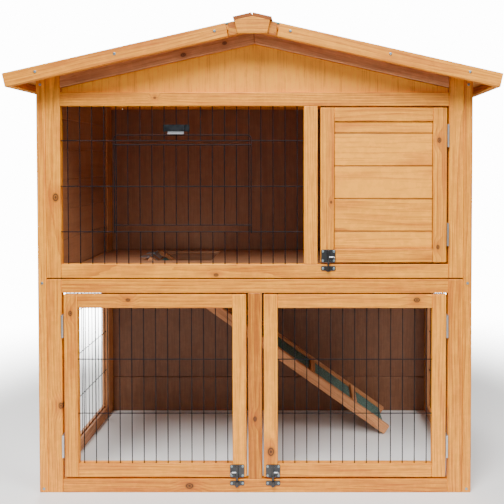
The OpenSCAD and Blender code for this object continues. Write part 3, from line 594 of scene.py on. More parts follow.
def heads_tree():
    """One head, such as a screw's, on each point of the mesh, turned and sized."""
    tree, net, given, made = new_tree(
        "hutch_heads", "GeometryNodeTree",
        [("Geometry", "Geometry", None), ("Head", "Object", None),
         ("Turn", "Vector", (0, 0, 0)), ("Size", "Float", 1.0), ("Twist", "Float", 3.0),
         ("Seed", "Int", 4), ("Material", "Material", None)],
        [("Geometry", "Geometry", None)])
    head = net.add("GeometryNodeObjectInfo", {"Object": given["Head"]},
                   transform_space="ORIGINAL")
    twist = net.add("FunctionNodeRandomValue", {"Seed": given["Seed"]}, data_type="FLOAT")
    tree.links.new(given["Twist"], twist.inputs[3])
    own_turn = net.add("ShaderNodeCombineXYZ", {"Y": twist.outputs[1]})
    placed = net.add("GeometryNodeInstanceOnPoints", {
        "Points": given["Geometry"], "Instance": head.outputs["Geometry"],
        "Rotation": given["Turn"], "Scale": given["Size"]})
    turned = net.add("GeometryNodeRotateInstances", {"Instances": placed.outputs[0],
                                                     "Rotation": own_turn.outputs[0]})
    solid = net.add("GeometryNodeRealizeInstances", {"Geometry": turned.outputs[0]})
    painted = net.add("GeometryNodeSetMaterial", {"Geometry": solid.outputs[0],
                                                  "Material": given["Material"]})
    tree.links.new(painted.outputs[0], made["Geometry"])
    return tree


def grown(tree, values, points=()):
    """The plain mesh that a Geometry Nodes tree makes from some points."""
    seed = bmesh.new()
    for point in points:
        seed.verts.new(point)
    thing = loose_object("seed", seed)
    modifier = thing.modifiers.new("grow", "NODES")
    modifier.node_group = tree
    for item in tree.interface.items_tree:
        if item.item_type == "SOCKET" and item.in_out == "INPUT" and item.name in values:
            modifier[item.identifier] = values[item.name]
    data = evaluated_mesh(thing)
    bpy.data.objects.remove(thing)
    return data


# ---- Shader groups and materials ----

def grain_group():
    """Growth rings, fibres and knots of one timber bar."""
    tree, net, given, made = new_tree(
        "hutch_grain", "ShaderNodeTree",
        [("Grain", "Vector", (0, 0, 0)), ("Knot A", "Vector", (100, 100, 0)),
         ("Knot B", "Vector", (100, 100, 0)), ("Ring Scale", "Float", 62.0),
         ("Fibre Width", "Float", 440.0)],
        [("Rings", "Float", None), ("Fibres", "Float", None), ("Patches", "Float", None),
         ("Knot", "Float", None), ("Halo", "Float", None), ("Height", "Float", None)])
    reach = []
    for name in ("Knot A", "Knot B"):
        flat = net.stretch(given[name], (0.72, 1.0, 0.0))
        reach.append(net.add("ShaderNodeVectorMath", {0: flat}, operation="LENGTH").outputs[1])
    near = net.math("MINIMUM", *reach)
    swell = net.fade(near, 0.6, 4.5, 1.0, 0.0)
    slow = net.stretch(given["Grain"], (2.6, 14.0, 14.0))
    drift = net.math("MULTIPLY", net.noise(slow, 1.0, 1.5), 0.020)
    bulge = net.math("MULTIPLY", swell, 0.010)
    shift = net.add("ShaderNodeCombineXYZ", {"Y": net.math("ADD", drift, bulge), "Z": drift})
    moved = net.add("ShaderNodeVectorMath", {0: given["Grain"], 1: shift.outputs[0]},
                    operation="ADD").outputs[0]
    pulled = net.stretch(moved, (0.06, 1.0, 1.0))
    wave = net.add("ShaderNodeTexWave", {"Vector": pulled, "Scale": given["Ring Scale"],
                                         "Distortion": 1.6, "Detail": 2.0,
                                         "Detail Scale": 1.2},
                   wave_type="RINGS", rings_direction="X", wave_profile="SAW")
    rings = net.math("POWER", wave.outputs["Fac"], 1.7)
    fine = net.add("ShaderNodeVectorMath", {0: given["Grain"], 3: given["Fibre Width"]},
                   operation="SCALE").outputs[0]
    threads = net.stretch(fine, (0.03, 1.0, 1.0))
    fibres = net.noise(threads, 1.0, 4.0, 0.62)
    cloud = net.stretch(given["Grain"], (5.0, 58.0, 58.0))
    patches = net.noise(cloud, 1.0, 3.0, 0.55)
    core = net.fade(near, 0.55, 1.1, 1.0, 0.0)
    halo = net.fade(near, 0.9, 3.4, 1.0, 0.0)
    lines = net.math("SINE", net.math("MULTIPLY", near, 13.0))
    eye = net.math("MULTIPLY_ADD", lines, 0.22, 0.78)
    knot = net.math("MULTIPLY", core, eye, clamp=True)
    rough = net.math("MULTIPLY_ADD", rings, 0.5, net.math("MULTIPLY", fibres, 0.7))
    for value, name in ((rings, "Rings"), (fibres, "Fibres"), (patches, "Patches"),
                        (knot, "Knot"), (halo, "Halo"), (rough, "Height")):
        tree.links.new(value, made[name])
    return tree


def wear_group():
    """Rubbed and dusty places, as a mask from 0 to 1."""
    tree, net, given, made = new_tree(
        "hutch_wear", "ShaderNodeTree",
        [("Vector", "Vector", (0, 0, 0)), ("Scale", "Float", 120.0), ("Amount", "Float", 0.5)],
        [("Mask", "Float", None), ("Fine", "Float", None)])
    broad = net.noise(given["Vector"], given["Scale"], 5.0, 0.65)
    edge = net.math("SUBTRACT", 0.95, given["Amount"])
    mask = net.fade(broad, net.math("SUBTRACT", edge, 0.12), edge)
    fine = net.noise(given["Vector"], net.math("MULTIPLY", given["Scale"], 7.0), 3.0)
    tree.links.new(mask, made["Mask"])
    tree.links.new(fine, made["Fine"])
    return tree


def new_material(name):
    """A material with its Principled BSDF, and a Net to build the rest."""
    material = bpy.data.materials.new(name)
    material.use_nodes = True
    shader = material.node_tree.nodes["Principled BSDF"]
    return material, Net(material.node_tree), shader


def grouped(net, tree, inputs):
    """Places a shader group in a material."""
    node = net.add("ShaderNodeGroup", node_tree=tree)
    for name, value in inputs.items():
        if isinstance(value, bpy.types.NodeSocket):
            net.tree.links.new(value, node.inputs[name])
        else:
            node.inputs[name].default_value = value
    return node.outputs


def bumped(net, shader, height, strength, distance):
    bump = net.add("ShaderNodeBump", {"Height": height, "Strength": strength,
                                      "Distance": distance})
    net.tree.links.new(bump.outputs[0], shader.inputs["Normal"])


def attribute(net, name):
    return net.add("ShaderNodeAttribute", attribute_name=name)


def timber_material(name, groups, timber, colours, stain_and_painted_light=1.0, ring_scale=62.0,
                    fibre_width=440.0, rings_share=0.5, rim_painted_light=0.05, stain_share=0.62):
    """Stained softwood. A brightness scale below 1 darkens it, for boards that took more stain;
    above 1, on the plywood, it is painted light against the roof's shadow on the gable.
    """
    grain, wear = groups
    material, net, shader = new_material(name)
    place = attribute(net, "grain").outputs["Vector"]
    look = grouped(net, grain, {
        "Grain": place, "Knot A": attribute(net, "knot_a").outputs["Vector"],
        "Knot B": attribute(net, "knot_b").outputs["Vector"], "Ring Scale": ring_scale,
        "Fibre Width": fibre_width})
    tone = attribute(net, "tone").outputs["Fac"]
    rim = attribute(net, "rim").outputs["Fac"]
    rubbed = grouped(net, wear, {"Vector": place, "Scale": 60.0, "Amount": 0.42})
    pale, deep, red, dark = ((*colour, 1.0) for colour in (*colours, timber.knot))
    share = net.math("MULTIPLY_ADD", look["Rings"], rings_share,
                     net.math("MULTIPLY_ADD", look["Fibres"], 2.1, -0.95))
    share = net.math("SUBTRACT", share, net.math("MULTIPLY", tone, 0.6), clamp=True)
    colour = net.mix(share, pale, deep)
    stain = net.fade(look["Patches"], 0.46, 0.74, 0.0, stain_share)
    colour = net.mix(stain, colour, red)
    halo = net.math("MULTIPLY", look["Halo"], 0.5)
    colour = net.mix(halo, colour, red)
    colour = net.mix(look["Knot"], colour, dark)
    # Painted light on the rounded edges: a highlight when the rim value is above 0, painted shade along the joints
    # when it is below 0
    light = net.math("MULTIPLY_ADD", rim, rim_painted_light, 1.0)
    # The tone and the brightness scale carry painted light on the plywood and painted light and shade on the
    # inside pieces
    shade = net.math("MULTIPLY_ADD", tone, 0.26, stain_and_painted_light)
    value = net.math("MULTIPLY", light, shade)
    worn = net.math("MULTIPLY_ADD", rubbed["Mask"], -0.09, value)
    tinted = net.add("ShaderNodeVectorMath", {0: colour, 3: worn}, operation="SCALE")
    net.tree.links.new(tinted.outputs[0], shader.inputs["Base Color"])
    rough = net.math("MULTIPLY_ADD", look["Fibres"], 0.22, 0.40)
    net.tree.links.new(rough, shader.inputs["Roughness"])
    shader.inputs["Specular IOR Level"].default_value = 0.35
    bumped(net, shader, look["Height"], 0.35, 0.35 * MM)
    return material


def zinc_material(name, wear, colour, scale=260.0):
    material, net, shader = new_material(name)
    place = net.add("ShaderNodeTexCoord").outputs["Object"]
    marks = grouped(net, wear, {"Vector": place, "Scale": scale, "Amount": 0.45})
    dull = (colour[0] * 0.55, colour[1] * 0.55, colour[2] * 0.56, 1.0)
    base = net.mix(marks["Fine"], (*colour, 1.0), dull)
    base = net.mix(net.math("MULTIPLY", marks["Mask"], 0.35), base, (*colour, 1.0))
    net.tree.links.new(base, shader.inputs["Base Color"])
    rough = net.math("MULTIPLY_ADD", marks["Fine"], 0.35, 0.20)
    net.tree.links.new(rough, shader.inputs["Roughness"])
    shader.inputs["Metallic"].default_value = 0.9
    bumped(net, shader, marks["Fine"], 0.2, 0.1 * MM)
    return material


def coated_material(name, wear, colour, rough_low, metallic):
    """Black coated wire or painted steel, rubbed here and there."""
    material, net, shader = new_material(name)
    place = net.add("ShaderNodeTexCoord").outputs["Object"]
    marks = grouped(net, wear, {"Vector": place, "Scale": 90.0, "Amount": 0.36})
    worn = tuple(min(1.0, part * 2.0 + 0.004) for part in colour)
    base = net.mix(net.math("MULTIPLY", marks["Mask"], 0.6), (*colour, 1.0), (*worn, 1.0))
    net.tree.links.new(base, shader.inputs["Base Color"])
    rough = net.math("MULTIPLY_ADD", marks["Fine"], 0.25, rough_low)
    net.tree.links.new(rough, shader.inputs["Roughness"])
    shader.inputs["Metallic"].default_value = metallic
    shader.inputs["Specular IOR Level"].default_value = 0.12
    bumped(net, shader, marks["Fine"], 0.15, 0.1 * MM)
    return material


def felt_material(wear, colour):
    """Bitumen felt under coloured mineral granules."""
    material, net, shader = new_material("mineral_felt")
    place = net.add("ShaderNodeTexCoord").outputs["Object"]
    cells = net.add("ShaderNodeTexVoronoi", {"Vector": place, "Scale": 620.0,
                                             "Randomness": 1.0})
    marks = grouped(net, wear, {"Vector": place, "Scale": 45.0, "Amount": 0.5})
    grey = net.add("ShaderNodeSeparateColor", {"Color": cells.outputs["Color"]})
    light = tuple(min(1.0, part * 2.2 + 0.03) for part in colour)
    dark = tuple(part * 0.35 for part in colour)
    base = net.mix(grey.outputs[0], (*dark, 1.0), (*light, 1.0))
    base = net.mix(net.fade(grey.outputs[1], 0.88, 0.95, 0.0, 0.6), base,
                   (0.42, 0.46, 0.42, 1.0))
    base = net.mix(net.math("MULTIPLY", marks["Mask"], 0.3), base, (0.05, 0.055, 0.05, 1.0))
    net.tree.links.new(base, shader.inputs["Base Color"])
    rough = net.math("MULTIPLY_ADD", grey.outputs[0], 0.2, 0.78)
    net.tree.links.new(rough, shader.inputs["Roughness"])
    bumped(net, shader, cells.outputs["Distance"], 0.6, 0.6 * MM)
    return material


MATERIALS = {}


def make_materials(scene):
    """Builds the shared groups and every material, once."""
    if MATERIALS:
        return
    timber, fitting = scene.hutch_timber, scene.hutch_fittings
    grain, wear = grain_group(), wear_group()
    groups = (grain, wear)
    outer = (timber.pale, timber.deep, timber.red)
    # Darker copies of the outer colours: painted shade on the inside pieces and the sheltered bars
    inner = (timber.inside_shade_pale, timber.inside_shade_deep, timber.inside_shade_deep)
    soft = (timber.shade_painted_pale, timber.shade_painted_deep, timber.shade_painted_deep)
    MATERIALS.update({
        "timber": timber_material("stained_fir", groups, timber, outer),
        # Painted shade: a darker, less saturated copy of the stain for the sheltered bars
        "soft": timber_material("shade_painted_fir", groups, timber, soft),
        # The boards' rounded edges are darkened, as painted shade in the joints between them
        "boards": timber_material("stained_boards", groups, timber, outer, stain_and_painted_light=0.92,
                                  ring_scale=40.0, fibre_width=360.0, rim_painted_light=-0.4),
        # The plywood is lightened as painted light, against the roof's shadow on the gable
        "plywood": timber_material("stained_plywood", groups, timber, outer, stain_and_painted_light=1.12,
                                   ring_scale=150.0, fibre_width=420.0, rings_share=0.12,
                                   stain_share=0.25),
        # Painted shade: a darkened copy of the stain for the inside pieces
        "inside": timber_material("stained_inside", groups, timber, inner, ring_scale=90.0,
                                  fibre_width=600.0, rings_share=0.35, stain_share=0.4),
        "zinc": zinc_material("zinc_plate", wear, fitting.zinc),
        "latch": zinc_material("tarnished_zinc", wear, fitting.steel, 420.0),
        "screw": zinc_material("blued_zinc", wear, fitting.screw),
        "black_wire": coated_material("coated_wire", wear, fitting.coating, 0.42, 0.0),
        "black_steel": coated_material("painted_clip", wear, (0.012, 0.014, 0.016), 0.3, 0.4),
        "green_felt": felt_material(wear, fitting.felt),
    })


# ---- Operators ----

class HutchOperator:
    """What the hutch's operators share"""

    bl_options = {"REGISTER", "UNDO"}

    def execute(self, context):
        make_materials(context.scene)
        self.build(context.scene)
        return {"FINISHED"}


class HUTCH_OT_timber(HutchOperator, Operator):
    """Rounds the edges of every bar and board and gives them their grain"""

    bl_idname = "hutch.timber"
    bl_label = "Timber and boards"

    def build(self, scene):
        sizes = scene.hutch_timber
        for node, slot in SLOT_OF.items():
            if slot not in ("timber", "boards", "plywood"):
                continue
            radius = sizes.edge_round if slot == "timber" else sizes.board_round
            mesh = timber_mesh(node, radius, sizes.variety)
            # Inside pieces and sheltered bars take darker copies of the stain, as painted shade
            kind = "inside" if node in INSIDE else "soft" if node in SHADE_PAINTED_BARS else slot
            material = MATERIALS[kind]
            finish_piece("stained_" + node, mesh, material, BODY_OF[node], slot, node)


class HUTCH_OT_wire_mesh(HutchOperator, Operator):
    """Builds the welded wire panels of the cabin, the run's doors and its sides"""

    bl_idname = "hutch.wire_mesh"
    bl_label = "Wire mesh"

    def build(self, scene):
        fitting = scene.hutch_fittings
        tree = wire_rows_tree()
        panels = {"cabin_mesh": cabin_panel(fitting)}
        for side in ("left", "right"):
            panels[side + "_run_door_mesh"] = door_panel(side + "_run_door_mesh", fitting)
            panels[side + "_run_side_mesh"] = side_panel(side, fitting)
        for node, rows in panels.items():
            mesh = joined(wire_rows(tree, row, fitting) for row in rows)
            finish_piece("wire_" + node, mesh, MATERIALS["black_wire"], BODY_OF[node],
                         "black_wire", node)


def wire_rows(tree, row, fitting):
    """The mesh of one row of wires: how many, the first one's foot, the step and the reach."""
    count, first, step, reach = row
    return grown(tree, {"Count": count, "First": first, "Step": step, "Reach": reach,
                        "Diameter": fitting.wire_diameter, "Sides": fitting.wire_sides,
                        "Material": MATERIALS["black_wire"]})


def uprights(low, high, axis, fitting):
    """How many upright wires a panel has, and where the first one stands."""
    room = high[axis] - low[axis] - 2 * fitting.mesh_lap - fitting.mesh_edge
    count = math.floor(room / fitting.mesh_pitch) + 1
    return count, (low[axis] + high[axis] - (count - 1) * fitting.mesh_pitch) / 2


DOOR_WIRE_DROP = 108 * MM
DOOR_WIRE_PITCH = 113.5 * MM
SIDE_WIRE_RISE = 96.5 * MM
SIDE_WIRE_PITCH = 105 * MM
SIDE_WIRES = 3


def door_panel(node, fitting):
    low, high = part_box(node)
    half = fitting.wire_diameter / 2
    count, first = uprights(low, high, 0, fitting)
    top_cross = high.z - fitting.mesh_lap - DOOR_WIRE_DROP
    return [
        (count, (first, high.y - half, low.z), (fitting.mesh_pitch, 0.0, 0.0),
         (0.0, 0.0, high.z - low.z)),
        (2, (low.x, low.y + half, top_cross), (0.0, 0.0, -DOOR_WIRE_PITCH),
         (high.x - low.x, 0.0, 0.0)),
    ]


def side_panel(side, fitting):
    low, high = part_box(side + "_run_side_mesh")
    half = fitting.wire_diameter / 2
    outer, inner = (low.x + half, high.x - half) if side == "left" else (high.x - half,
                                                                         low.x + half)
    count, first = uprights(low, high, 1, fitting)
    return [
        (count, (outer, first, low.z), (0.0, fitting.mesh_pitch, 0.0),
         (0.0, 0.0, high.z - low.z)),
        (SIDE_WIRES, (inner, low.y, low.z + fitting.mesh_lap + SIDE_WIRE_RISE),
         (0.0, 0.0, SIDE_WIRE_PITCH), (0.0, high.y - low.y, 0.0)),
    ]


FLAP_FIRST = 4
FLAP_SPACES = 11
LINTEL_DROP = 11.7 * MM
FLAP_LOW_WIRE = 14.4 * MM
FLAP_HIGH_WIRE = 20.2 * MM
WELD_SINK = 0.6


def flap_places(fitting):
    """Where the flap's opening starts and ends across, and its wires' heights."""
    low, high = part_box("cabin_mesh")
    _, first = uprights(low, high, 0, fitting)
    x0 = first + FLAP_FIRST * fitting.mesh_pitch
    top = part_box("wire_flap")[1].z - fitting.wire_diameter / 2
    pivot = PIVOTS["flap_pivot"].z
    lintel = top - LINTEL_DROP
    return x0, x0 + FLAP_SPACES * fitting.mesh_pitch, pivot, (pivot + lintel) / 2, lintel, top


def cabin_panel(fitting):
    """The fixed mesh, which leaves the flap's opening free."""
    low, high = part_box("cabin_mesh")
    half = fitting.wire_diameter / 2
    count, first = uprights(low, high, 0, fitting)
    x0, x1, pivot, middle, lintel, _ = flap_places(fitting)
    back, front = high.y - half, low.y + half
    step = (fitting.mesh_pitch, 0.0, 0.0)
    tall = (0.0, 0.0, high.z - low.z)
    rows = [
        (FLAP_FIRST + 1, (first, back, low.z), step, tall),
        (count - FLAP_FIRST - FLAP_SPACES, (x1, back, low.z), step, tall),
        (FLAP_SPACES - 1, (x0 + step[0], back, lintel), step, (0.0, 0.0, high.z - lintel)),
        (FLAP_SPACES - 1, (x0 + step[0], back, low.z), step, (0.0, 0.0, pivot - low.z)),
        (1, (low.x, front, middle), step, (x0 - low.x + half, 0.0, 0.0)),
        (1, (x1 - half, front, middle), step, (high.x - x1 + half, 0.0, 0.0)),
    ]
    rows += [(1, (low.x, front, z), step, (high.x - low.x, 0.0, 0.0)) for z in (pivot, lintel)]
    return rows


class HUTCH_OT_feed_flap(HutchOperator, Operator):
    """Builds the wire flap, its side wires curled round the wire that it turns on"""

    bl_idname = "hutch.feed_flap"
    bl_label = "Feed flap"

    def build(self, scene):
        fitting = scene.hutch_fittings
        tree = wire_rows_tree()
        low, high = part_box("wire_flap")
        half = fitting.wire_diameter / 2
        x0, x1, pivot, middle, _, top = flap_places(fitting)
        left, right = low.x + half, high.x - half
        front = low.y + half
        back = front + WELD_SINK * fitting.wire_diameter
        low_wire, high_wire = pivot + FLAP_LOW_WIRE, top - FLAP_HIGH_WIRE
        rows = [(FLAP_SPACES - 1, (x0 + fitting.mesh_pitch, back, low_wire),
                 (fitting.mesh_pitch, 0.0, 0.0), (0.0, 0.0, high_wire - low_wire))]
        rows += [(1, (left - half, front, z), (1.0, 0.0, 0.0), (right - left + 2 * half, 0.0, 0.0))
                 for z in (low_wire, middle, high_wire)]
        mesh = joined(wire_rows(tree, row, fitting) for row in rows)
        add_rod(mesh, self.outline(left, right, back, pivot, top), half, sides=10)
        finish_piece("feed_flap", mesh, MATERIALS["black_wire"], "flap", "black_wire",
                     "wire_flap")

    def outline(self, left, right, y, pivot, top):
        """Up one side, across with round corners and down the other, with curled ends."""
        corner = 8 * MM
        axle = PIVOTS["flap_pivot"].y
        curl = axle - y
        loop = [Vector((left, axle - curl * math.cos(turn), pivot + curl * math.sin(turn)))
                for turn in (math.radians(-300 + 20 * k) for k in range(15))]
        bend = [Vector((left + corner * (1 - math.cos(turn)), y, top - corner
                        + corner * math.sin(turn)))
                for turn in (math.radians(15 * k) for k in range(7))]
        half_way = loop + [Vector((left, y, pivot)), Vector((left, y, pivot + corner))] + bend
        mirror = [Vector((left + right - p.x, p.y, p.z)) for p in reversed(half_way)]
        return half_way + mirror


LATCHES = {"cabin_door": "cabin_bolt", "left_run_door": "left_run_bolt",
           "right_run_door": "right_run_bolt"}
PLATE = 1.2 * MM
BOLT_RADIUS = 2.2 * MM
BOLT_OUT = 4.2 * MM
HANDLE_RADIUS = 1.5 * MM
HANDLE_UP = 11.5 * MM
SCREW_IN = (3.6 * MM, 4 * MM)


class HUTCH_OT_latches(HutchOperator, Operator):
    """Builds the latch plates, their bolts and the keepers below them"""

    bl_idname = "hutch.latches"
    bl_label = "Latches"

    def build(self, scene):
        steel, blued = MATERIALS["latch"], MATERIALS["screw"]
        tree = heads_tree()
        head = screw_head(scene.hutch_fittings.screw_radius * 0.88)
        keepers = bmesh.new()
        keeper_screws = []
        for door, bolt_body in LATCHES.items():
            low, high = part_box(door + "_latch")
            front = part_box(door + "_frame")[0].y
            bolt_low, bolt_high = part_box(door + "_bolt")
            x = (low.x + high.x) / 2
            bolt_y = front - BOLT_OUT
            plate = latch_plate(low, high, x, front, bolt_y)
            points = [(x + sx * ((high.x - low.x) / 2 - SCREW_IN[0]), front - PLATE, z)
                      for sx in (-1, 1) for z in (low.z + SCREW_IN[1], high.z - SCREW_IN[1])]
            finish_piece(door + "_latch_plate", plate, steel, door, "zinc", door + "_latch")
            finish_piece(door + "_latch_screws", heads(tree, head, points, 5), blued, door,
                         "zinc")
            bolt = bmesh.new()
            add_rod(bolt, [(x, bolt_y, bolt_low.z + BOLT_RADIUS),
                           (x, bolt_y, bolt_high.z - BOLT_RADIUS)], BOLT_RADIUS, sides=16)
            side = 1 if bolt_high.x - x > x - bolt_low.x else -1
            finish_piece(door + "_latch_bolt", bolt, steel, bolt_body, "zinc", door + "_bolt")
            handle = bmesh.new()
            add_rod(handle, handle_path(x, bolt_y, low.z + HANDLE_UP, side), HANDLE_RADIUS)
            finish_piece(door + "_latch_handle", handle, MATERIALS["zinc"], bolt_body, "zinc")
        door_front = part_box("cabin_door_frame")[0].y
        for x, low, high in keeper_places():
            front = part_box("run_bottom_rail")[0].y
            keeper_plate(keepers, x, low, high, front, door_front - BOLT_OUT)
            keeper_screws += [(x + sx * ((high.x - low.x) / 2 - SCREW_IN[0]), front - PLATE,
                               (low.z + high.z + MM) / 2) for sx in (-1, 1)]
        finish_piece("keepers", keepers, steel, "hutch", "zinc", "latch_keepers")
        finish_piece("keeper_screws", heads(tree, head, keeper_screws, 8), blued, "hutch",
                     "zinc")
        bpy.data.objects.remove(head)


def keeper_places():
    """Each keeper's middle across and its box, which is the plate with its barrel."""
    whole = merged_copy("latch_keepers")
    places = []
    for verts in islands(whole):
        low, high = box_of(verts)
        if high.x - low.x > 10 * MM:
            places.append(((low.x + high.x) / 2, low, high))
    whole.free()
    return places


def heads(tree, head, points, seed, turn=(0.0, 0.0, 0.0)):
    """One head on each point, at its own twist."""
    return grown(tree, {"Head": head, "Turn": turn, "Seed": seed,
                        "Material": MATERIALS["zinc"]}, points)


def strap(mesh, x, plate_y, bolt_y, low_z, high_z, foot):
    """A pressed band that holds the bolt against its plate."""
    wall = 1 * MM
    inner = BOLT_RADIUS + 0.12 * MM
    outer = inner + wall
    steps = 12
    turns = [math.pi * k / steps for k in range(steps + 1)]
    over = [(x - outer * math.cos(t), bolt_y - outer * math.sin(t)) for t in turns]
    under = [(x + inner * math.cos(t), bolt_y - inner * math.sin(t)) for t in turns]
    outline = ([(x - outer - foot, plate_y), (x - outer - foot, plate_y - wall),
                (x - outer, plate_y - wall)] + over
               + [(x + outer, plate_y - wall), (x + outer + foot, plate_y - wall),
                  (x + outer + foot, plate_y), (x + inner, plate_y)] + under
               + [(x - inner, plate_y)])
    faces = add_prism(mesh, outline, low_z, high_z, axis=2)
    for face in faces[2:]:
        face.smooth = face.calc_area() < 6 * MM * MM
    soften(mesh, faces[:2], 0.2 * MM)


def latch_plate(low, high, x, front, bolt_y):
    mesh = bmesh.new()
    faces = add_prism(mesh, round_rectangle(low.x, high.x, low.z, high.z, 3 * MM),
                      front - PLATE, front - 0.05 * MM)
    soften(mesh, faces, 0.3 * MM)
    strap(mesh, x, front - PLATE, bolt_y, low.z + 0.3 * MM, low.z + 4.5 * MM, 2.2 * MM)
    strap(mesh, x, front - PLATE, bolt_y, high.z - 6 * MM, high.z - 0.4 * MM, 2.2 * MM)
    return mesh


def keeper_plate(mesh, x, low, high, front, bolt_y):
    bottom = low.z + MM
    faces = add_prism(mesh, round_rectangle(low.x, high.x, bottom, high.z, 2.4 * MM),
                      front - PLATE, front - 0.05 * MM)
    soften(mesh, faces, 0.3 * MM)
    strap(mesh, x, front - PLATE, bolt_y, low.z, high.z - 0.4 * MM, 1.6 * MM)


def handle_path(x, y, z, side):
    """Out of the bolt to the side, round a bend and forwards."""
    reach, bend, grip = 12 * MM, 3 * MM, 6 * MM
    elbow = [Vector((x + side * (reach - bend + bend * math.sin(turn)),
                     y - bend + bend * math.cos(turn), z))
             for turn in (math.radians(15 * k) for k in range(7))]
    return [Vector((x, y, z))] + elbow + [Vector((x + side * reach, y - grip, z))]


class HUTCH_OT_screws(HutchOperator, Operator):
    """Puts heads on the screws of the corner strips and the barge boards"""

    bl_idname = "hutch.screws"
    bl_label = "Frame screws"

    def build(self, scene):
        head = screw_head(scene.hutch_fittings.screw_radius)
        tree = heads_tree()
        fronts, backs = [], []
        whole = merged_copy("frame_screws")
        for verts in islands(whole):
            low, high = box_of(verts)
            middle = (low + high) / 2
            sunk = 0.35 * MM
            if middle.y < 0:
                fronts.append((middle.x, low.y + MM - sunk, middle.z))
            else:
                backs.append((middle.x, high.y - MM + sunk, middle.z))
        whole.free()
        mesh = joined([heads(tree, head, fronts, 2),
                       heads(tree, head, backs, 3, (0.0, 0.0, math.pi))])
        bpy.data.objects.remove(head)
        finish_piece("screw_heads", mesh, MATERIALS["screw"], "hutch", "zinc", "frame_screws")


class HUTCH_OT_felt(HutchOperator, Operator):
    """Lays the mineral felt on the roof and on the ramp, with its laps and nails"""

    bl_idname = "hutch.felt"
    bl_label = "Felt"

    def build(self, scene):
        fitting = scene.hutch_fittings
        roof, nails = felt_mesh("roof_felt", fitting, lap_at=0.27)
        finish_piece("roof_covering", roof, MATERIALS["green_felt"], "hutch", "green_felt",
                     "roof_felt")
        ramp, _ = felt_mesh("ramp_felt", fitting, lap_at=None)
        finish_piece("ramp_covering", ramp, MATERIALS["green_felt"], "ramp", "green_felt",
                     "ramp_felt")
        head = nail_head(4 * MM)
        tree = heads_tree()
        slope = math.radians(12.7)
        parts = [heads(tree, head, [p for p in nails if p.x * side > 0], 6,
                       (0.0, side * slope, 0.0)) for side in (-1, 1)]
        bpy.data.objects.remove(head)
        finish_piece("felt_nails", joined(parts), MATERIALS["zinc"], "hutch", "zinc")


def cut_evenly(mesh, verts, axis, centre, half, cell):
    """Cuts a solid across an axis into strips about one cell wide."""
    count = max(1, round(2 * half / cell))
    faces = {f for v in verts for f in v.link_faces}
    edges = {e for v in verts for e in v.link_edges}
    geometry = list(verts) + list(edges) + list(faces)
    for k in range(1, count):
        place = centre + axis * (half * (2 * k / count - 1))
        cut = bmesh.ops.bisect_plane(mesh, geom=geometry, dist=1e-6, plane_co=place,
                                     plane_no=axis)
        geometry = list(set(cut["geom"]) | set(cut["geom_cut"]))
    return [item for item in geometry if isinstance(item, bmesh.types.BMVert)]


def felt_mesh(node, fitting, lap_at):
    """A felt sheet that lies a little uneven, with an upper course that laps the lower one,
    and the places of its nails."""
    mesh = merged_copy(node)
    nails = []
    for verts in islands(mesh):
        centre, axes, half = bar_axes(verts, False)
        up = axes[2] if axes[2].z > 0 else -axes[2]
        low, high = box_of(verts)
        top = max(v.co.dot(up) for v in verts)
        verts = cut_evenly(mesh, verts, axes[0], centre, half[0], fitting.felt_cell)
        verts = cut_evenly(mesh, verts, axes[1], centre, half[1], fitting.felt_cell)
        if abs(axes[0].y) < abs(axes[1].y):
            axes[0], axes[1], half[0], half[1] = axes[1], axes[0], half[1], half[0]
        across = axes[1] if axes[1].z < 0 else -axes[1]
        for vert in verts:
            if vert.co.dot(up) < top - 0.2 * MM:
                continue
            wave = noise.noise(vert.co * 9) + 0.5 * noise.noise(vert.co * 31)
            down = (vert.co - centre).dot(across) + half[1]
            course = 1.5 * MM if lap_at and down < lap_at else 0
            vert.co += up * (course + 0.4 * MM * (wave + 0.6))
        if lap_at:
            nails += felt_nails(centre, axes[0], across, up, half, lap_at, fitting.nail_pitch)
    for face in mesh.faces:
        face.smooth = True
    bmesh.ops.recalc_face_normals(mesh, faces=mesh.faces)
    return mesh, nails


def felt_nails(centre, along, across, up, half, lap_at, pitch):
    """Nails along the eave and along the lap of one slope."""
    inset = 14 * MM
    places = []
    for down, lift in ((lap_at - inset, 2.3 * MM), (2 * half[1] - inset, 0.9 * MM)):
        count = round(2 * (half[0] - inset) / pitch)
        for k in range(count + 1):
            across_at = down - half[1]
            along_at = (half[0] - inset) * (2 * k / count - 1)
            places.append(centre + along * along_at + across * across_at
                          + up * (half[2] + lift))
    return places


class HUTCH_OT_fittings(HutchOperator, Operator):
    """Finishes the hinges, the ramp's hinges and the flap's clip"""

    bl_idname = "hutch.fittings"
    bl_label = "Hinges and clip"

    def build(self, scene):
        for node, thing in NODES.items():
            slot = SLOT_OF[node]
            if thing.hide_render or slot not in MATERIALS:
                continue
            if not thing.data.materials:
                thing.data.materials.append(None)
            for holder in thing.material_slots:
                holder.material = MATERIALS[slot]


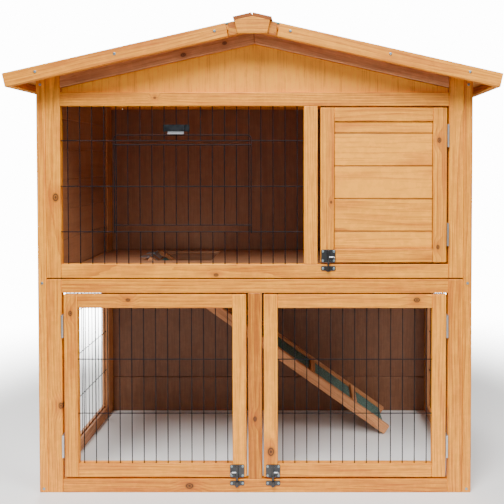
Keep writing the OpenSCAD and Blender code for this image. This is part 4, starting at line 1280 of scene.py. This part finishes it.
class HUTCH_OT_stage(HutchOperator, Operator):
    """Sets the pale floor, the soft lights, the white surroundings and the camera"""

    bl_idname = "hutch.stage"
    bl_label = "Stage"

    def build(self, scene):
        stage = scene.hutch_stage
        self.floor()
        self.surroundings(scene, stage.world_power)
        lights = [
            ("key", (-0.5, -2.3, 3.7), (0.0, 0.0, 0.4), 2.2, stage.key_power),
            ("side", (2.6, -1.9, 3.0), (0.0, 0.0, 0.4), 2.0, stage.key_power * 0.35),
            ("front", (0.3, -3.6, 1.5), (0.0, 0.0, 0.6), 2.6, stage.key_power * 0.06),
            ("rear", (-1.2, 3.2, 3.2), (0.0, 0.0, 0.4), 2.4, stage.key_power * 0.5),
        ]
        for name, place, target, size, power in lights:
            self.light(scene, name, place, target, size, power)
        data = bpy.data.cameras.new("camera")
        data.lens = stage.camera_lens
        data.shift_x, data.shift_y = stage.camera_shift
        data.clip_start = 0.01
        camera = bpy.data.objects.new("camera", data)
        camera.location = stage.camera_at
        camera.rotation_euler = (math.pi / 2 - stage.camera_pitch, 0, 0)
        scene.collection.objects.link(camera)
        scene.camera = camera

    def light(self, scene, name, place, target, size, power):
        data = bpy.data.lights.new(name, "AREA")
        data.shape = "DISK"
        data.size = size
        data.energy = power
        lamp = bpy.data.objects.new(name, data)
        lamp.location = place
        lamp.rotation_euler = (Vector(target) - Vector(place)).to_track_quat("-Z", "Y").to_euler()
        scene.collection.objects.link(lamp)

    def floor(self):
        """A round pale floor that fades into the white surroundings."""
        mesh = bmesh.new()
        bmesh.ops.create_circle(mesh, cap_ends=True, segments=96, radius=4)
        data = bpy.data.meshes.new("floor")
        mesh.to_mesh(data)
        mesh.free()
        material, net, shader = new_material("pale_floor")
        shader.inputs["Base Color"].default_value = (0.86, 0.86, 0.85, 1)
        shader.inputs["Roughness"].default_value = 0.7
        place = net.add("ShaderNodeTexCoord").outputs["Object"]
        away = net.add("ShaderNodeVectorMath", {0: place}, operation="LENGTH").outputs[1]
        net.tree.links.new(net.fade(away, 0.75, 1.7, 1.0, 0.0), shader.inputs["Alpha"])
        data.materials.append(material)
        floor = bpy.data.objects.new("floor", data)
        bpy.context.scene.collection.objects.link(floor)

    def surroundings(self, scene, power):
        """White where the camera looks straight at it, and softer as a light."""
        world = bpy.data.worlds.new("surroundings")
        world.use_nodes = True
        net = Net(world.node_tree)
        lit = world.node_tree.nodes["Background"]
        lit.inputs["Color"].default_value = (1.0, 0.98, 0.96, 1)
        lit.inputs["Strength"].default_value = power
        seen = net.add("ShaderNodeBackground", {"Color": (1, 1, 1, 1), "Strength": 14.0})
        ray = net.add("ShaderNodeLightPath")
        both = net.add("ShaderNodeMixShader", {0: ray.outputs["Is Camera Ray"],
                                               1: lit.outputs[0], 2: seen.outputs[0]})
        out = world.node_tree.nodes["World Output"]
        world.node_tree.links.new(both.outputs[0], out.inputs["Surface"])
        scene.world = world


class HUTCH_PT_panel(Panel):
    """Lists the hutch's settings and what builds each piece"""

    bl_label = "Hutch"
    bl_idname = "HUTCH_PT_panel"
    bl_space_type = "VIEW_3D"
    bl_region_type = "UI"
    bl_category = "Hutch"

    def draw(self, context):
        for settings in ("hutch_timber", "hutch_fittings", "hutch_stage"):
            box = self.layout.box()
            group = getattr(context.scene, settings)
            for name in group.__annotations__:
                box.prop(group, name)
        for operator in OPERATORS:
            self.layout.operator(operator.bl_idname)


OPERATORS = (HUTCH_OT_timber, HUTCH_OT_wire_mesh, HUTCH_OT_feed_flap, HUTCH_OT_latches,
             HUTCH_OT_screws, HUTCH_OT_felt, HUTCH_OT_fittings, HUTCH_OT_stage)
SETTINGS = {"hutch_timber": HutchTimberSettings, "hutch_fittings": HutchFittingSettings,
            "hutch_stage": HutchStageSettings}


def register():
    for group in SETTINGS.values():
        bpy.utils.register_class(group)
    for name, group in SETTINGS.items():
        setattr(bpy.types.Scene, name, PointerProperty(type=group))
    for operator in OPERATORS:
        bpy.utils.register_class(operator)
    bpy.utils.register_class(HUTCH_PT_panel)


def unregister():
    bpy.utils.unregister_class(HUTCH_PT_panel)
    for operator in reversed(OPERATORS):
        bpy.utils.unregister_class(operator)
    for name, group in SETTINGS.items():
        delattr(bpy.types.Scene, name)
        bpy.utils.unregister_class(group)


def main():
    register()
    bpy.ops.hutch.timber()
    bpy.ops.hutch.wire_mesh()
    bpy.ops.hutch.feed_flap()
    bpy.ops.hutch.latches()
    bpy.ops.hutch.screws()
    bpy.ops.hutch.felt()
    bpy.ops.hutch.fittings()
    bpy.ops.hutch.stage()


if __name__ == "__main__":
    main()
